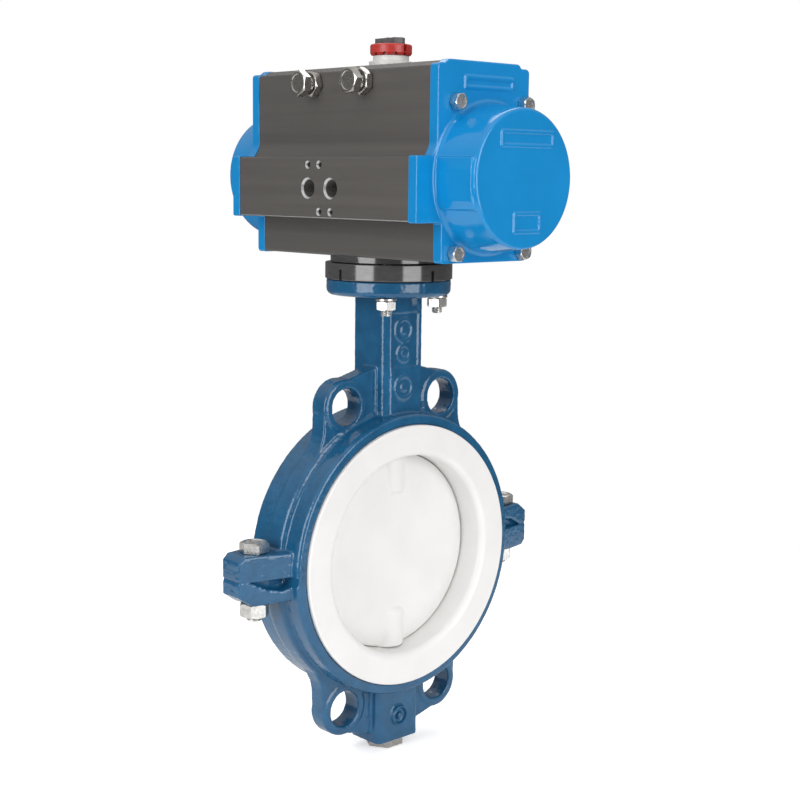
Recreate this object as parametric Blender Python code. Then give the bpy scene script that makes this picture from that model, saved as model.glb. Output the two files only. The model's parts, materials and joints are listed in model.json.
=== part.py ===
"""Rack-and-pinion pneumatic actuator, spring return, bolted to a lined wafer butterfly valve.

Frame: origin where the pipe axis (X) crosses the stem axis (Z), +Z up along the stem.
The cylinder of the actuator lies along X and its air ports face -Y.
Sizes are in millimetres and become metres when a mesh is made.
"""

import math

import bmesh
import bpy
from mathutils import Matrix, Vector

MM = 0.001
GAP = 0.3
ROUND = 36
SMALL_ROUND = 16
HOLE_ROUND = 12

# Valve: DN150, 56 mm face to face, lugs on the 240 mm circle of a PN16 flange.
SEAT_BORE_R = 73.0
SEAT_FLANGE_R = 95.6
SEAT_TUBE_R = 79.0
SEAT_FACE = 28.0
SEAT_FLANGE_BACK = 24.2
BACKING_R = 86.7
BACKING_HALF = 16.0
BODY_FACE = 25.5
BODY_RIM_R = 102.0
BODY_REAR_RIM_R = 104.0
BODY_CROWN_R = 107.0
BODY_CROWN_FRONT = 9.0
SPLIT_HALF_GAP = 0.15
LUG_PITCH_R = 120.0
LUG_ANGLE = math.radians(22.5)
LUG_R = 20.0
LUG_HOLE_R = 13.3
LUG_FRONT = 7.5
LUG_REAR = -6.5
NECK_HALF = 17.6
NECK_CHAMFER = 4.6
NECK_SHARP = 1.0
BOSS_BOTTOM = -144.0
BOSS_HALF_X = 15.0
BOSS_HALF_Y = 19.4
BOSS_CHAMFER = 3.5
EAR_END = 141.5
EAR_HALF_WIDTH = 9.5
EAR_FLARE = 0.22
EAR_WEB_HALF = 8.0
EAR_HEIGHT = 17.5
CLAMP_BOLT_Y = 121.5
CLAMP_HOLE_R = 6.3
DISC_R = 72.5
DISC_EDGE_HALF = 4.0
DISC_CROWN_HALF = 13.5
DISC_CROWN_R = 44.0
DISC_HUB_R = 13.4
DISC_HUB_END = 71.2
STEM_R = 9.5
STEM_SQUARE = 17.0
STEM_TOP = 232.0
STEM_SQUARE_START = 206.0
STEM_BOTTOM = -125.0
BUSH_R = 12.8
PLUG_FLATS = 25.4
PLUG_HEAD = 5.4

# Joint between valve and actuator: ISO 5211 F07, four M8 studs on a 70 mm circle.
FLANGE_R = 44.8
FLANGE_BOTTOM = 188.4
FLANGE_TOP = 199.6
RING_R = 45.8
RING_TOP = 211.6
STUD_PITCH_R = 35.0
STUD_R = 3.9
STUD_BOTTOM = 175.4
STUD_TOP = 228.0

# Actuator: 85 mm bore, racks of module 1.8 on an 18-tooth pinion.
BORE_Z = 271.5
BORE_R = 42.5
BODY_HALF_LENGTH = 90.0
CAP_PLATE = 8.0
CAP_END = 131.5
CAP_DOME_R = 49.3
CAP_RIM_R = 45.7
BODY_BOTTOM = 216.6
BOSS_R = 42.0
SHOULDER_TOP = 343.9
PAD_TOP = 346.8
PAD_FRONT = -38.0
PAD_REAR = 27.0
UPPER_FRONT = -47.4
BAND_FRONT = -65.5
BAND_TOP = 285.1
BAND_BOTTOM = 243.1
LOWER_FRONT = -42.6
REAR = 37.0
REAR_BULGE_R = 49.0
CAP_BOLT_Y = 32.2
CAP_BOLT_DZ = 49.0
MODULE = 1.8
TEETH = 18
PRESSURE_ANGLE = math.radians(20)
BACKLASH = 0.35
ADDENDUM = 0.95 * MODULE
DEDENDUM = 1.25 * MODULE
GEAR_HALF = 14.0
RACK_HALF = 12.0
PISTON_R = 42.1
PISTON_INNER = 36.0
PISTON_OUTER = 52.0
RACK_TIP = 32.0
RACK_BACK = 29.0
SPRING_COIL_R = 27.0
SPRING_WIRE_R = 2.4
SPRING_TURNS = 4
SPRING_SEAT = 127.0
CHAMBER_R = 33.0
CHAMBER_TOP = 341.4
CAM_R = 31.5
CAM_FACE = 8.0
CAM_BOTTOM = 330.0
CAM_TOP = 341.0
STOP_X = 26.5
STOP_Z = 335.3
STOP_R = 4.8
PORT_X = 12.0
PORT_Z = 263.6
PORT_R = 6.0
NECK_R = 11.0
JOURNAL_R = 16.0
INDICATOR_R = 15.5

PITCH_R = MODULE * TEETH / 2
RACK_PITCH = math.pi * MODULE
GEAR_TIP_R = PITCH_R + ADDENDUM
GEAR_ROOT_R = PITCH_R - DEDENDUM

# Name: linear colour, metallic, roughness.
FINISHES = {
    "anodised": ((0.105, 0.098, 0.092), 0.7, 0.55),
    "cap_paint": ((0.012, 0.235, 0.62), 0.0, 0.28),
    "valve_paint": ((0.016, 0.095, 0.21), 0.0, 0.35),
    "black_oxide": ((0.022, 0.022, 0.024), 0.6, 0.42),
    "ptfe": ((0.86, 0.85, 0.83), 0.0, 0.45),
    "stainless": ((0.60, 0.59, 0.57), 1.0, 0.25),
    "zinc": ((0.55, 0.54, 0.50), 1.0, 0.35),
    "aluminium": ((0.62, 0.62, 0.63), 1.0, 0.35),
    "steel": ((0.42, 0.41, 0.40), 1.0, 0.38),
    "spring_steel": ((0.10, 0.16, 0.24), 0.7, 0.40),
    "rubber": ((0.015, 0.015, 0.016), 0.0, 0.70),
    "acetal": ((0.70, 0.70, 0.68), 0.0, 0.40),
    "red_plastic": ((0.50, 0.035, 0.030), 0.0, 0.30),
    "grey_plastic": ((0.09, 0.09, 0.095), 0.0, 0.40),
}


def clear_scene():
    for obj in list(bpy.data.objects):
        bpy.data.objects.remove(obj)


def finish_material(name):
    """The named finish as a Principled material, made once."""
    material = bpy.data.materials.get(name)
    if material:
        return material
    colour, metallic, roughness = FINISHES[name]
    material = bpy.data.materials.new(name)
    material.use_nodes = True
    shader = material.node_tree.nodes["Principled BSDF"]
    shader.inputs["Base Color"].default_value = (*colour, 1.0)
    shader.inputs["Metallic"].default_value = metallic
    shader.inputs["Roughness"].default_value = roughness
    return material


def arc(centre, radius, start, end, count):
    """Points on an arc, from angle start to end in degrees."""
    angles = [math.radians(start + (end - start) * i / count) for i in range(count + 1)]
    return [(centre[0] + radius * math.cos(a), centre[1] + radius * math.sin(a)) for a in angles]


def mirrored(half):
    """An outline symmetric about the second axis, from the points of its positive half."""
    return half + [(-a, b) for a, b in reversed(half) if a > 0]


def face_outward(bm):
    bmesh.ops.recalc_face_normals(bm, faces=bm.faces)
    if bm.calc_volume(signed=True) < 0:
        bmesh.ops.reverse_faces(bm, faces=bm.faces)
    return bm


def turned(profile, axis="Z", steps=24):
    """A solid of revolution. Its (radius, height) profile is a loop, or a line that ends on the axis."""
    bm = bmesh.new()
    verts = [bm.verts.new((radius, 0, height)) for radius, height in profile]
    pairs = list(zip(verts, verts[1:]))
    if all(radius > 0 for radius, _ in profile):
        pairs.append((verts[-1], verts[0]))
    edges = [bm.edges.new(pair) for pair in pairs]
    bmesh.ops.spin(bm, geom=verts + edges, cent=(0, 0, 0), axis=(0, 0, 1),
                   angle=math.tau, steps=steps, use_merge=True)
    bmesh.ops.remove_doubles(bm, verts=bm.verts, dist=0.001)
    if axis == "X":
        bm.transform(Matrix.Rotation(math.pi / 2, 4, "Y"))
    if axis == "Y":
        bm.transform(Matrix.Rotation(-math.pi / 2, 4, "X"))
    return face_outward(bm)


def extruded(outline, low, high, axis="Z"):
    """A prism: the outline holds the two coordinates across the axis, in X, Y, Z order."""
    places = {"X": lambda a, b: (low, a, b), "Y": lambda a, b: (a, low, b), "Z": lambda a, b: (a, b, low)}
    place = places[axis]
    direction = Vector({"X": (1, 0, 0), "Y": (0, 1, 0), "Z": (0, 0, 1)}[axis])
    bm = bmesh.new()
    face = bm.faces.new([bm.verts.new(place(a, b)) for a, b in outline])
    raised = bmesh.ops.extrude_face_region(bm, geom=[face])["geom"]
    moved = [item for item in raised if isinstance(item, bmesh.types.BMVert)]
    bmesh.ops.translate(bm, verts=moved, vec=direction * (high - low))
    return face_outward(bm)


def cylinder(radius, low, high, axis="Z", centre=(0, 0, 0), steps=24):
    bm = turned([(0, low), (radius, low), (radius, high), (0, high)], axis, steps)
    bm.transform(Matrix.Translation(centre))
    return bm


def ring(inner, outer, low, high, axis="Z", steps=24):
    return turned([(inner, low), (outer, low), (outer, high), (inner, high)], axis, steps)


def box(low, high):
    return extruded([(low[0], low[1]), (high[0], low[1]), (high[0], high[1]), (low[0], high[1])],
                    low[2], high[2])


def moved(bm, x=0, y=0, z=0):
    bm.transform(Matrix.Translation((x, y, z)))
    return bm


def flipped(bm, axis):
    """The same shape mirrored across the plane through the origin normal to the axis."""
    bm.transform(Matrix.Scale(-1, 4, {"X": (1, 0, 0), "Y": (0, 1, 0), "Z": (0, 0, 1)}[axis]))
    return face_outward(bm)


def add_object(name, bm):
    """Links a shape as an object, still in millimetres. Its faces are split into flat triangles."""
    bmesh.ops.triangulate(bm, faces=bm.faces)
    mesh = bpy.data.meshes.new(name)
    bm.to_mesh(mesh)
    bm.free()
    obj = bpy.data.objects.new(name, mesh)
    bpy.context.scene.collection.objects.link(obj)
    return obj


def to_metres(obj, origin):
    """Scales the mesh to metres and puts the object's origin at the given point, in millimetres."""
    obj.data.transform(Matrix.Scale(MM, 4) @ Matrix.Translation(-Vector(origin)))
    obj.location = Vector(origin) * MM


def is_closed(mesh):
    bm = bmesh.new()
    bm.from_mesh(mesh)
    closed = all(len(edge.link_faces) == 2 for edge in bm.edges)
    bm.free()
    return closed


def boolean(obj, operation, bm):
    """Joins a shape to the object, or cuts it away. MANIFOLD takes over where EXACT fails."""
    other = add_object("operand", bm)
    modifier = obj.modifiers.new(operation.lower(), "BOOLEAN")
    modifier.operation = operation
    modifier.object = other
    for solver in ("EXACT", "MANIFOLD"):
        modifier.solver = solver
        bpy.context.view_layer.update()
        graph = bpy.context.evaluated_depsgraph_get()
        result = bpy.data.meshes.new_from_object(obj.evaluated_get(graph))
        if is_closed(result):
            break
    obj.modifiers.clear()
    obj.data = result
    bpy.data.objects.remove(other)


def merge_flat_faces(mesh):
    """Joins the flat slivers that Booleans leave, so that a plane face is one face again."""
    bm = bmesh.new()
    bm.from_mesh(mesh)
    bmesh.ops.dissolve_limit(bm, angle_limit=math.radians(0.4), verts=bm.verts, edges=bm.edges)
    bmesh.ops.remove_doubles(bm, verts=bm.verts, dist=0.005)
    bm.to_mesh(mesh)
    bm.free()


def part(name, base, finish, joined=(), cut=(), origin=(0, 0, 0), parent=None):
    """One named sub-part: a base shape, shapes joined to it, shapes cut from it, and its finish."""
    obj = add_object(name, base)
    for bm in joined:
        boolean(obj, "UNION", bm)
    for bm in cut:
        boolean(obj, "DIFFERENCE", bm)
    if joined or cut:
        merge_flat_faces(obj.data)
    to_metres(obj, origin)
    obj.data.name = name
    obj.data.materials.clear()
    obj.data.materials.append(finish_material(finish))
    obj.data.shade_smooth()
    obj.data.set_sharp_from_angle(angle=math.radians(35))
    if parent:
        bpy.context.view_layer.update()
        obj.parent = parent
        obj.matrix_parent_inverse = parent.matrix_world.inverted()
    return obj


def joint_axis(name, location):
    """An empty on a joint's axis, for the pieces that move on it."""
    empty = bpy.data.objects.new(name, None)
    empty.location = Vector(location) * MM
    bpy.context.scene.collection.objects.link(empty)
    bpy.context.view_layer.update()
    return empty


# ---------------------------------------------------------------- fasteners

def fastener(rings, hollow=False):
    """A turned and hexagonal blank along Z: each ring is (height, radius, True where it is hexagonal).

    A hollow one closes on itself through its hole instead of being capped.
    """
    bm = bmesh.new()
    loops = []
    for height, radius, hexagonal in rings:
        loop = []
        for i in range(12):
            reach = radius / math.cos(math.pi / 6) if hexagonal and i % 2 == 0 else radius
            angle = i * math.pi / 6
            loop.append(bm.verts.new((reach * math.cos(angle), reach * math.sin(angle), height)))
        loops.append(loop)
    for lower, upper in zip(loops, loops[1:] + loops[:1] if hollow else loops[1:]):
        for i in range(12):
            j = (i + 1) % 12
            bm.faces.new((lower[i], lower[j], upper[j], upper[i]))
    if not hollow:
        bm.faces.new(loops[0])
        bm.faces.new(loops[-1])
    return face_outward(bm)


def hex_bolt(flats, head, shank_r, length):
    """Head above Z = 0 and shank below it."""
    half = flats / 2
    return fastener([
        (-length, shank_r, False), (0, shank_r, False), (0, half, True), (head, half, True),
    ])


def hex_nut(flats, height, hole_r):
    """A nut from Z = 0 up, with a plain hole through it."""
    half = flats / 2
    return fastener([
        (0, hole_r, False), (0, half, True), (height, half, True), (height, hole_r, False),
    ], hollow=True)


def aim(bm, direction):
    """Turns a shape made along +Z so that it points along the direction."""
    bm.transform(Vector((0, 0, 1)).rotation_difference(Vector(direction)).to_matrix().to_4x4())
    return bm


# ---------------------------------------------------------------- valve

def neck_outline():
    """The square column in X and Y, with wide chamfers on the two edges towards +X -Y and -X +Y."""
    h, c, s = NECK_HALF, NECK_HALF - NECK_CHAMFER, NECK_HALF - NECK_SHARP
    return [(h, -c), (h, s), (s, h), (-c, h), (-h, c), (-h, -s), (-s, -h), (c, -h)]


def boss_outline():
    """The lower column in X and Y, before it is turned over."""
    x, y, chamfer = BOSS_HALF_X, BOSS_HALF_Y, BOSS_CHAMFER
    return [(-x, -y), (x, -y), (x, y - chamfer), (x - chamfer, y), (-x, y)]


def lug_outline():
    """Both upper lugs and their webs to the neck, in Y and Z."""
    y = LUG_PITCH_R * math.sin(LUG_ANGLE)
    z = LUG_PITCH_R * math.cos(LUG_ANGLE)
    web_top = NECK_HALF, z + LUG_R + 6.5
    foot = [(73, 70), (73, 78), (68.5, 86), (66, 94)]
    return mirrored(foot + arc((y, z), LUG_R, -12, 100, 7) + [web_top, (0, web_top[1])])


def ear_outline(chamfer):
    """The upper clamp ear at +Y, in Y and Z. It reaches below the split, which trims it."""
    return [
        (96, -1), (EAR_END - 1.5, -1), (EAR_END, 1), (EAR_END, EAR_HEIGHT - chamfer * 0.8),
        (EAR_END - chamfer * 1.2, EAR_HEIGHT), (96, EAR_HEIGHT - 1),
    ]


def ear_pocket(side):
    """The hollow under the second ear, on one side of its web."""
    outline = [
        (BODY_RIM_R, -2), (EAR_END - 8, -2), (EAR_END - 8, 0), (EAR_END - 20, 6.5),
        (BODY_CROWN_R + 2, 9), (BODY_RIM_R, 7),
    ]
    low, high = sorted((side * EAR_WEB_HALF, side * 30))
    return extruded(outline, low, high, "X")


def flared(ear):
    """Widens a clamp ear along X, from its end towards the ring."""
    for vert in ear.verts:
        vert.co.x *= EAR_HALF_WIDTH + EAR_FLARE * (EAR_END - abs(vert.co.y))
    return ear


def waterway_cutter():
    """The stepped bore that holds the seat and its backing ring."""
    shoulder = SEAT_TUBE_R + GAP
    land = SEAT_FLANGE_BACK - GAP
    channel = BACKING_HALF + GAP
    profile = [
        (0, -40), (SEAT_FLANGE_R + GAP * 2, -40), (SEAT_FLANGE_R + GAP * 2, -land), (shoulder, -land),
        (shoulder, -channel), (BACKING_R + GAP, -channel), (BACKING_R + GAP, channel), (shoulder, channel),
        (shoulder, land), (SEAT_FLANGE_R + GAP * 2, land), (SEAT_FLANGE_R + GAP * 2, 40), (0, 40),
    ]
    return turned(profile, "X", ROUND)


def half_body(column, column_top):
    """The upper half of the body on its column's outline, and the cuts that both halves share."""
    edge = BODY_FACE - 1.8
    profile = [
        (0, -BODY_FACE), (BODY_REAR_RIM_R, -BODY_FACE), (BODY_REAR_RIM_R + 2, -edge),
        (BODY_CROWN_R, BODY_CROWN_FRONT - 2.5), (BODY_RIM_R + 1.8, BODY_CROWN_FRONT + 0.5),
        (BODY_RIM_R + 1.8, edge), (BODY_RIM_R, BODY_FACE), (0, BODY_FACE),
    ]
    base = turned(profile, "X", ROUND)
    joined = [
        extruded(lug_outline(), LUG_REAR, LUG_FRONT, "X"),
        extruded(column, 80, column_top),
    ]
    lug_y = LUG_PITCH_R * math.sin(LUG_ANGLE)
    lug_z = LUG_PITCH_R * math.cos(LUG_ANGLE)
    below = box((-60, -180, -250), (60, 180, SPLIT_HALF_GAP))
    cut = [waterway_cutter(), below, ear_pocket(1), ear_pocket(-1)]
    for side, ear in ((-1, ear_outline(4.0)), (1, ear_outline(9.0))):
        joined.append(flared(extruded([(side * y, z) for y, z in ear], -1, 1, "X")))
        cut.append(cylinder(CLAMP_HOLE_R, -5, 30, centre=(0, side * CLAMP_BOLT_Y, 0), steps=HOLE_ROUND))
        cut.append(cylinder(LUG_HOLE_R, -20, 20, "X", (0, side * lug_y, lug_z), SMALL_ROUND))
    cut.append(cylinder(BUSH_R + GAP, 60, column_top + 30, steps=SMALL_ROUND))
    return base, joined, cut


def upper_body():
    base, joined, cut = half_body(neck_outline(), FLANGE_BOTTOM + 2)
    rounding = arc((FLANGE_R - 4, FLANGE_BOTTOM + 4), 4, -90, 0, 2)
    flange = [(0, FLANGE_BOTTOM)] + rounding + [(FLANGE_R, FLANGE_TOP), (0, FLANGE_TOP)]
    joined.append(turned(flange, steps=ROUND))
    cut.append(cylinder(15.8, 178, FLANGE_TOP + 5, steps=SMALL_ROUND))
    for x, y in stud_places():
        cut.append(cylinder(STUD_R + 0.4, 180, 205, centre=(x, y, 0), steps=HOLE_ROUND))
    part("valve_body_upper", base, "valve_paint", joined, cut)


def lower_body():
    """The same half turned half a turn about the pipe, with a short wide boss for its column."""
    base, joined, cut = half_body(boss_outline(), -BOSS_BOTTOM)
    for bm in [base] + joined + cut:
        bm.transform(Matrix.Rotation(math.pi, 4, "X"))
    part("valve_body_lower", base, "valve_paint", joined, cut)


def seat_liner():
    profile = [
        (SEAT_BORE_R, -SEAT_FACE), (SEAT_FLANGE_R, -SEAT_FACE), (SEAT_FLANGE_R, -SEAT_FLANGE_BACK),
        (SEAT_TUBE_R, -SEAT_FLANGE_BACK), (SEAT_TUBE_R, SEAT_FLANGE_BACK), (SEAT_FLANGE_R, SEAT_FLANGE_BACK),
        (SEAT_FLANGE_R, SEAT_FACE), (SEAT_BORE_R, SEAT_FACE),
    ]
    stem_holes = cylinder(STEM_R + 0.5, -90, 90, steps=SMALL_ROUND)
    part("seat_liner", turned(profile, "X", ROUND), "ptfe", cut=[stem_holes])


def liner_backing():
    base = ring(SEAT_TUBE_R + GAP, BACKING_R, -BACKING_HALF, BACKING_HALF, "X", ROUND)
    part("liner_backing_ring", base, "rubber", cut=[cylinder(STEM_R + 0.5, -100, 100, steps=SMALL_ROUND)])


def valve_disc(parent):
    profile = [
        (0, -DISC_CROWN_HALF), (DISC_CROWN_R, -DISC_CROWN_HALF), (DISC_R, -DISC_EDGE_HALF),
        (DISC_R, DISC_EDGE_HALF), (DISC_CROWN_R, DISC_CROWN_HALF), (0, DISC_CROWN_HALF),
    ]
    hub = cylinder(DISC_HUB_R, -DISC_HUB_END, DISC_HUB_END)
    bore = cylinder(STEM_R + 0.5, -90, 90, steps=SMALL_ROUND)
    part("valve_disc", turned(profile, "X", ROUND), "ptfe", [hub], [bore], parent=parent)


def valve_stem(parent):
    half = STEM_SQUARE / 2
    flats = [box((side * half - 5 + side * 5, -20, STEM_SQUARE_START), (side * half + 5 + side * 5, 20, 250))
             for side in (-1, 1)]
    flats += [box((-20, side * half - 5 + side * 5, STEM_SQUARE_START), (20, side * half + 5 + side * 5, 250))
              for side in (-1, 1)]
    profile = [
        (0, STEM_BOTTOM), (STEM_R, STEM_BOTTOM), (STEM_R, STEM_TOP - 1), (STEM_R - 1, STEM_TOP),
        (0, STEM_TOP),
    ]
    part("valve_stem", turned(profile, steps=SMALL_ROUND), "stainless", cut=flats, parent=parent)


def stem_bearings():
    part("stem_bush_upper", ring(STEM_R + 0.5, BUSH_R, 96, 140, steps=SMALL_ROUND), "acetal")
    part("stem_bush_lower", ring(STEM_R + 0.5, BUSH_R, -122, -96, steps=SMALL_ROUND), "acetal")
    part("stem_packing", ring(STEM_R + 0.5, 15.4, 178.4, 196, steps=SMALL_ROUND), "rubber")


def bottom_plug():
    plug = hex_bolt(PLUG_FLATS, PLUG_HEAD, PLUG_FLATS / 2 - GAP, 16.0)
    aim(plug, (0, 0, -1))
    part("bottom_plug", moved(plug, z=BOSS_BOTTOM - GAP), "stainless")


def clamp_bolts():
    for side, name in ((-1, "front"), (1, "rear")):
        y = side * CLAMP_BOLT_Y
        bolt = hex_bolt(18.0, 6.8, 5.9, 48.6)
        part(f"clamp_bolt_{name}", moved(bolt, y=y, z=EAR_HEIGHT + GAP), "zinc", origin=(0, y, 0))
        nut = moved(hex_nut(18.0, 10.0, CLAMP_HOLE_R), y=y, z=-EAR_HEIGHT - GAP - 10.0)
        part(f"clamp_nut_{name}", nut, "zinc", origin=(0, y, 0))


# ---------------------------------------------------------------- joint between valve and actuator

def stud_places():
    """The flange's four holes. The last is left empty."""
    reach = STUD_PITCH_R / math.sqrt(2)
    return [(reach, -reach), (reach, reach), (-reach, reach), (-reach, -reach)]


def mounting_ring():
    low = FLANGE_TOP + GAP
    cut = [cylinder(STUD_R + 0.4, low - 5, RING_TOP + 5, centre=(x, y, 0), steps=HOLE_ROUND)
           for x, y in stud_places()]
    for x, y in ((1, 0), (-1, 0), (0, 1), (0, -1)):
        middle = Vector((x, y, 0)) * RING_R
        reach = Vector((abs(x) * 4 + abs(y) * 1.3, abs(y) * 4 + abs(x) * 1.3, 0))
        cut.append(box((middle - reach)[:2] + (low - 1,), (middle + reach)[:2] + (low + 7.5,)))
    base = ring(18.0, RING_R, low, RING_TOP, steps=ROUND)
    part("mounting_ring", base, "black_oxide", cut=cut)


def flange_studs():
    for i, (x, y) in enumerate(stud_places()[:3], 1):
        stud = fastener([(STUD_BOTTOM, STUD_R, False), (STUD_TOP, STUD_R, False)])
        part(f"flange_stud_{i}", moved(stud, x, y), "zinc", origin=(x, y, FLANGE_BOTTOM))
        washer_top = FLANGE_BOTTOM - GAP
        washer = ring(STUD_R + 0.4, 8.0, washer_top - 1.6, washer_top, steps=HOLE_ROUND)
        part(f"flange_washer_{i}", moved(washer, x, y), "zinc", origin=(x, y, FLANGE_BOTTOM))
        nut = moved(hex_nut(13.0, 6.4, STUD_R + 0.4), x, y, washer_top - 1.6 - GAP - 6.4)
        part(f"flange_nut_{i}", nut, "zinc", origin=(x, y, FLANGE_BOTTOM))


# ---------------------------------------------------------------- actuator housing

def housing_outline(grow=0.0):
    """Section of the extruded body in Y and Z, seen with -Y at the front. The caps are grown a little."""
    g = grow
    flare = arc((UPPER_FRONT - 12, BAND_TOP + 13), 12 - g, 0, -48, 3)
    bulge_z = math.sqrt((REAR_BULGE_R + g) ** 2 - (REAR + g) ** 2)
    bulge_angle = math.degrees(math.atan2(bulge_z, REAR + g))
    outline = [
        (PAD_FRONT, PAD_TOP + g), (PAD_FRONT - 4, SHOULDER_TOP + g), (UPPER_FRONT + 2, SHOULDER_TOP + g),
        (UPPER_FRONT - g, SHOULDER_TOP - 2),
    ]
    outline += flare
    outline += [(flare[-1][0] - 0.4, BAND_TOP + g), (BAND_FRONT + 1 - g, BAND_TOP + g)]
    outline += [(BAND_FRONT - g, BAND_TOP - 1), (BAND_FRONT - g, BAND_BOTTOM + 1)]
    outline += [(BAND_FRONT + 1 - g, BAND_BOTTOM - g), (LOWER_FRONT - 2, BAND_BOTTOM - g)]
    outline += [(LOWER_FRONT - g, BAND_BOTTOM - 2), (LOWER_FRONT - g, BODY_BOTTOM + 2)]
    outline += [(LOWER_FRONT + 2, BODY_BOTTOM - g), (REAR - 2, BODY_BOTTOM - g), (REAR + g, BODY_BOTTOM + 2)]
    outline += arc((0, BORE_Z), REAR_BULGE_R + g, -bulge_angle, bulge_angle, 5)
    outline += [(REAR + g, SHOULDER_TOP - 3), (REAR - 3, SHOULDER_TOP + g), (PAD_REAR + 3, SHOULDER_TOP + g)]
    outline += [(PAD_REAR, PAD_TOP + g)]
    return outline


def cap_bolt_places():
    return [(y, BORE_Z + z) for z in (CAP_BOLT_DZ, -CAP_BOLT_DZ) for y in (-CAP_BOLT_Y, CAP_BOLT_Y)]


def air_passages():
    """The two ports, the passage to the middle chamber and the drilling to the end chambers."""
    shapes = [
        cylinder(PORT_R, BAND_FRONT - 5, -57, "Y", (-PORT_X, 0, PORT_Z), 16),
        cylinder(4.0, -58, -35, "Y", (-PORT_X, 0, PORT_Z), 8),
        cylinder(PORT_R, BAND_FRONT - 5, -49.5, "Y", (PORT_X, 0, PORT_Z), 16),
        cylinder(3.0, -100, 100, "X", (0, -52.4, PORT_Z + 8), 8),
    ]
    for x, z in ((-PORT_X, 16), (0, 16), (0, -16), (PORT_X, -16)):
        shapes.append(cylinder(2.1, BAND_FRONT - 5, BAND_FRONT + 8, "Y", (x, 0, PORT_Z + z), 6))
    return shapes


def actuator_body():
    base = extruded(housing_outline(), -BODY_HALF_LENGTH, BODY_HALF_LENGTH, "X")
    boss = cylinder(BOSS_R, RING_TOP + GAP, BODY_BOTTOM + 5, steps=ROUND)
    cut = [
        cylinder(BORE_R, -110, 110, "X", (0, 0, BORE_Z), ROUND),
        cylinder(18.9, RING_TOP - 5, BORE_Z, steps=SMALL_ROUND),
        cylinder(CHAMBER_R, BORE_Z + 30, CHAMBER_TOP, steps=24),
        cylinder(13.8, CHAMBER_TOP - 5, PAD_TOP + 5, steps=SMALL_ROUND),
    ]
    for x in (-STOP_X, STOP_X):
        cut.append(cylinder(STOP_R + 0.3, UPPER_FRONT - 5, -10, "Y", (x, 0, STOP_Z), HOLE_ROUND))
    for x, y in stud_places():
        cut.append(cylinder(STUD_R + 0.3, RING_TOP - 5, 229.0, centre=(x, y, 0), steps=HOLE_ROUND))
    for y, z in cap_bolt_places():
        for side in (-1, 1):
            hole = cylinder(3.1, 76, 95, "X", (0, y, z), 8)
            cut.append(hole if side > 0 else flipped(hole, "X"))
    part("actuator_body", base, "anodised", [boss], cut + air_passages())


def dome_shoulder(low, high):
    """Squares off the upper front of the dome, and narrows with it."""
    front = -CAP_DOME_R - 1.3
    outline = [
        (-20, BORE_Z - 20), (front + 3.5, BORE_Z - 20), (front + 1.2, BORE_Z - 14), (front, BORE_Z - 4),
        (front, BORE_Z + 5.5), (front + 1.2, BAND_TOP), (-20, BAND_TOP),
    ]
    shape = extruded(outline, low, high, "X")
    for vert in shape.verts:
        if vert.co.x > low + 1 and vert.co.y < -21:
            vert.co.y += CAP_DOME_R - CAP_RIM_R
    return shape


def end_cap(name, side):
    """Cap on the +X end, or on the -X end its mirror image without the squared shoulder."""
    plate_end = BODY_HALF_LENGTH + CAP_PLATE
    base = extruded(housing_outline(0.6), BODY_HALF_LENGTH + GAP, plate_end, "X")
    dome = [
        (0, plate_end - 3), (CAP_DOME_R + 1.5, plate_end - 3), (CAP_DOME_R + 1.5, plate_end + 1),
        (CAP_DOME_R, plate_end + 3), (CAP_RIM_R, CAP_END - 2.6), (CAP_RIM_R - 2.6, CAP_END), (0, CAP_END),
    ]
    joined = [moved(turned(dome, "X", ROUND), z=BORE_Z)]
    if side > 0:
        joined.append(dome_shoulder(plate_end - 3, CAP_END - 3.5))
    inside = [(0, 80), (BORE_R, 80), (BORE_R, 118), (BORE_R - 3, SPRING_SEAT + GAP), (0, SPRING_SEAT + GAP)]
    cut = [moved(turned(inside, "X", ROUND), z=BORE_Z)]
    cut.append(moved(ring(44.0, 46.5, BODY_HALF_LENGTH - 5, BODY_HALF_LENGTH + 2.2, "X", 24), z=BORE_Z))
    cut.append(box((80, -54.5, PORT_Z + 6), (BODY_HALF_LENGTH + 4.5, -38, PORT_Z + 10)))
    for y, z in cap_bolt_places():
        cut.append(cylinder(3.3, 80, 110, "X", (0, y, z), 8))
    if side < 0:
        for bm in [base] + joined + cut:
            flipped(bm, "X")
    part(name, base, "cap_paint", joined, cut)


def cap_seal(name, side):
    base = moved(ring(44.3, 46.2, BODY_HALF_LENGTH + GAP, BODY_HALF_LENGTH + 1.8, "X", 24), z=BORE_Z)
    part(name, base if side > 0 else flipped(base, "X"), "rubber")


def cap_bolts():
    start = BODY_HALF_LENGTH + CAP_PLATE + GAP
    for side, end in ((1, "right"), (-1, "left")):
        for i, (y, z) in enumerate(cap_bolt_places(), 1):
            bolt = aim(hex_bolt(10.0, 5.8, 2.8, 20.0), (side, 0, 0))
            part(f"cap_bolt_{end}_{i}", moved(bolt, side * start, y, z), "zinc", origin=(side * start, y, z))


# ---------------------------------------------------------------- drive train

def involute(angle):
    return math.tan(angle) - angle


def pinion_outline():
    """Teeth with involute flanks, one of them centred on -Y."""
    base_r = PITCH_R * math.cos(PRESSURE_ANGLE)
    half_at_pitch = (RACK_PITCH - BACKLASH) / 4 / PITCH_R
    flank = []
    for radius in (GEAR_ROOT_R, base_r + 0.2, PITCH_R + 0.2, GEAR_TIP_R):
        at = math.acos(min(1.0, base_r / radius))
        flank.append((radius, half_at_pitch + involute(PRESSURE_ANGLE) - involute(at)))
    points = []
    for tooth in range(TEETH):
        centre = math.tau * tooth / TEETH - math.pi / 2
        points += [(r * math.cos(centre - a), r * math.sin(centre - a)) for r, a in flank]
        points += [(r * math.cos(centre + a), r * math.sin(centre + a)) for r, a in reversed(flank)]
    return points


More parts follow.
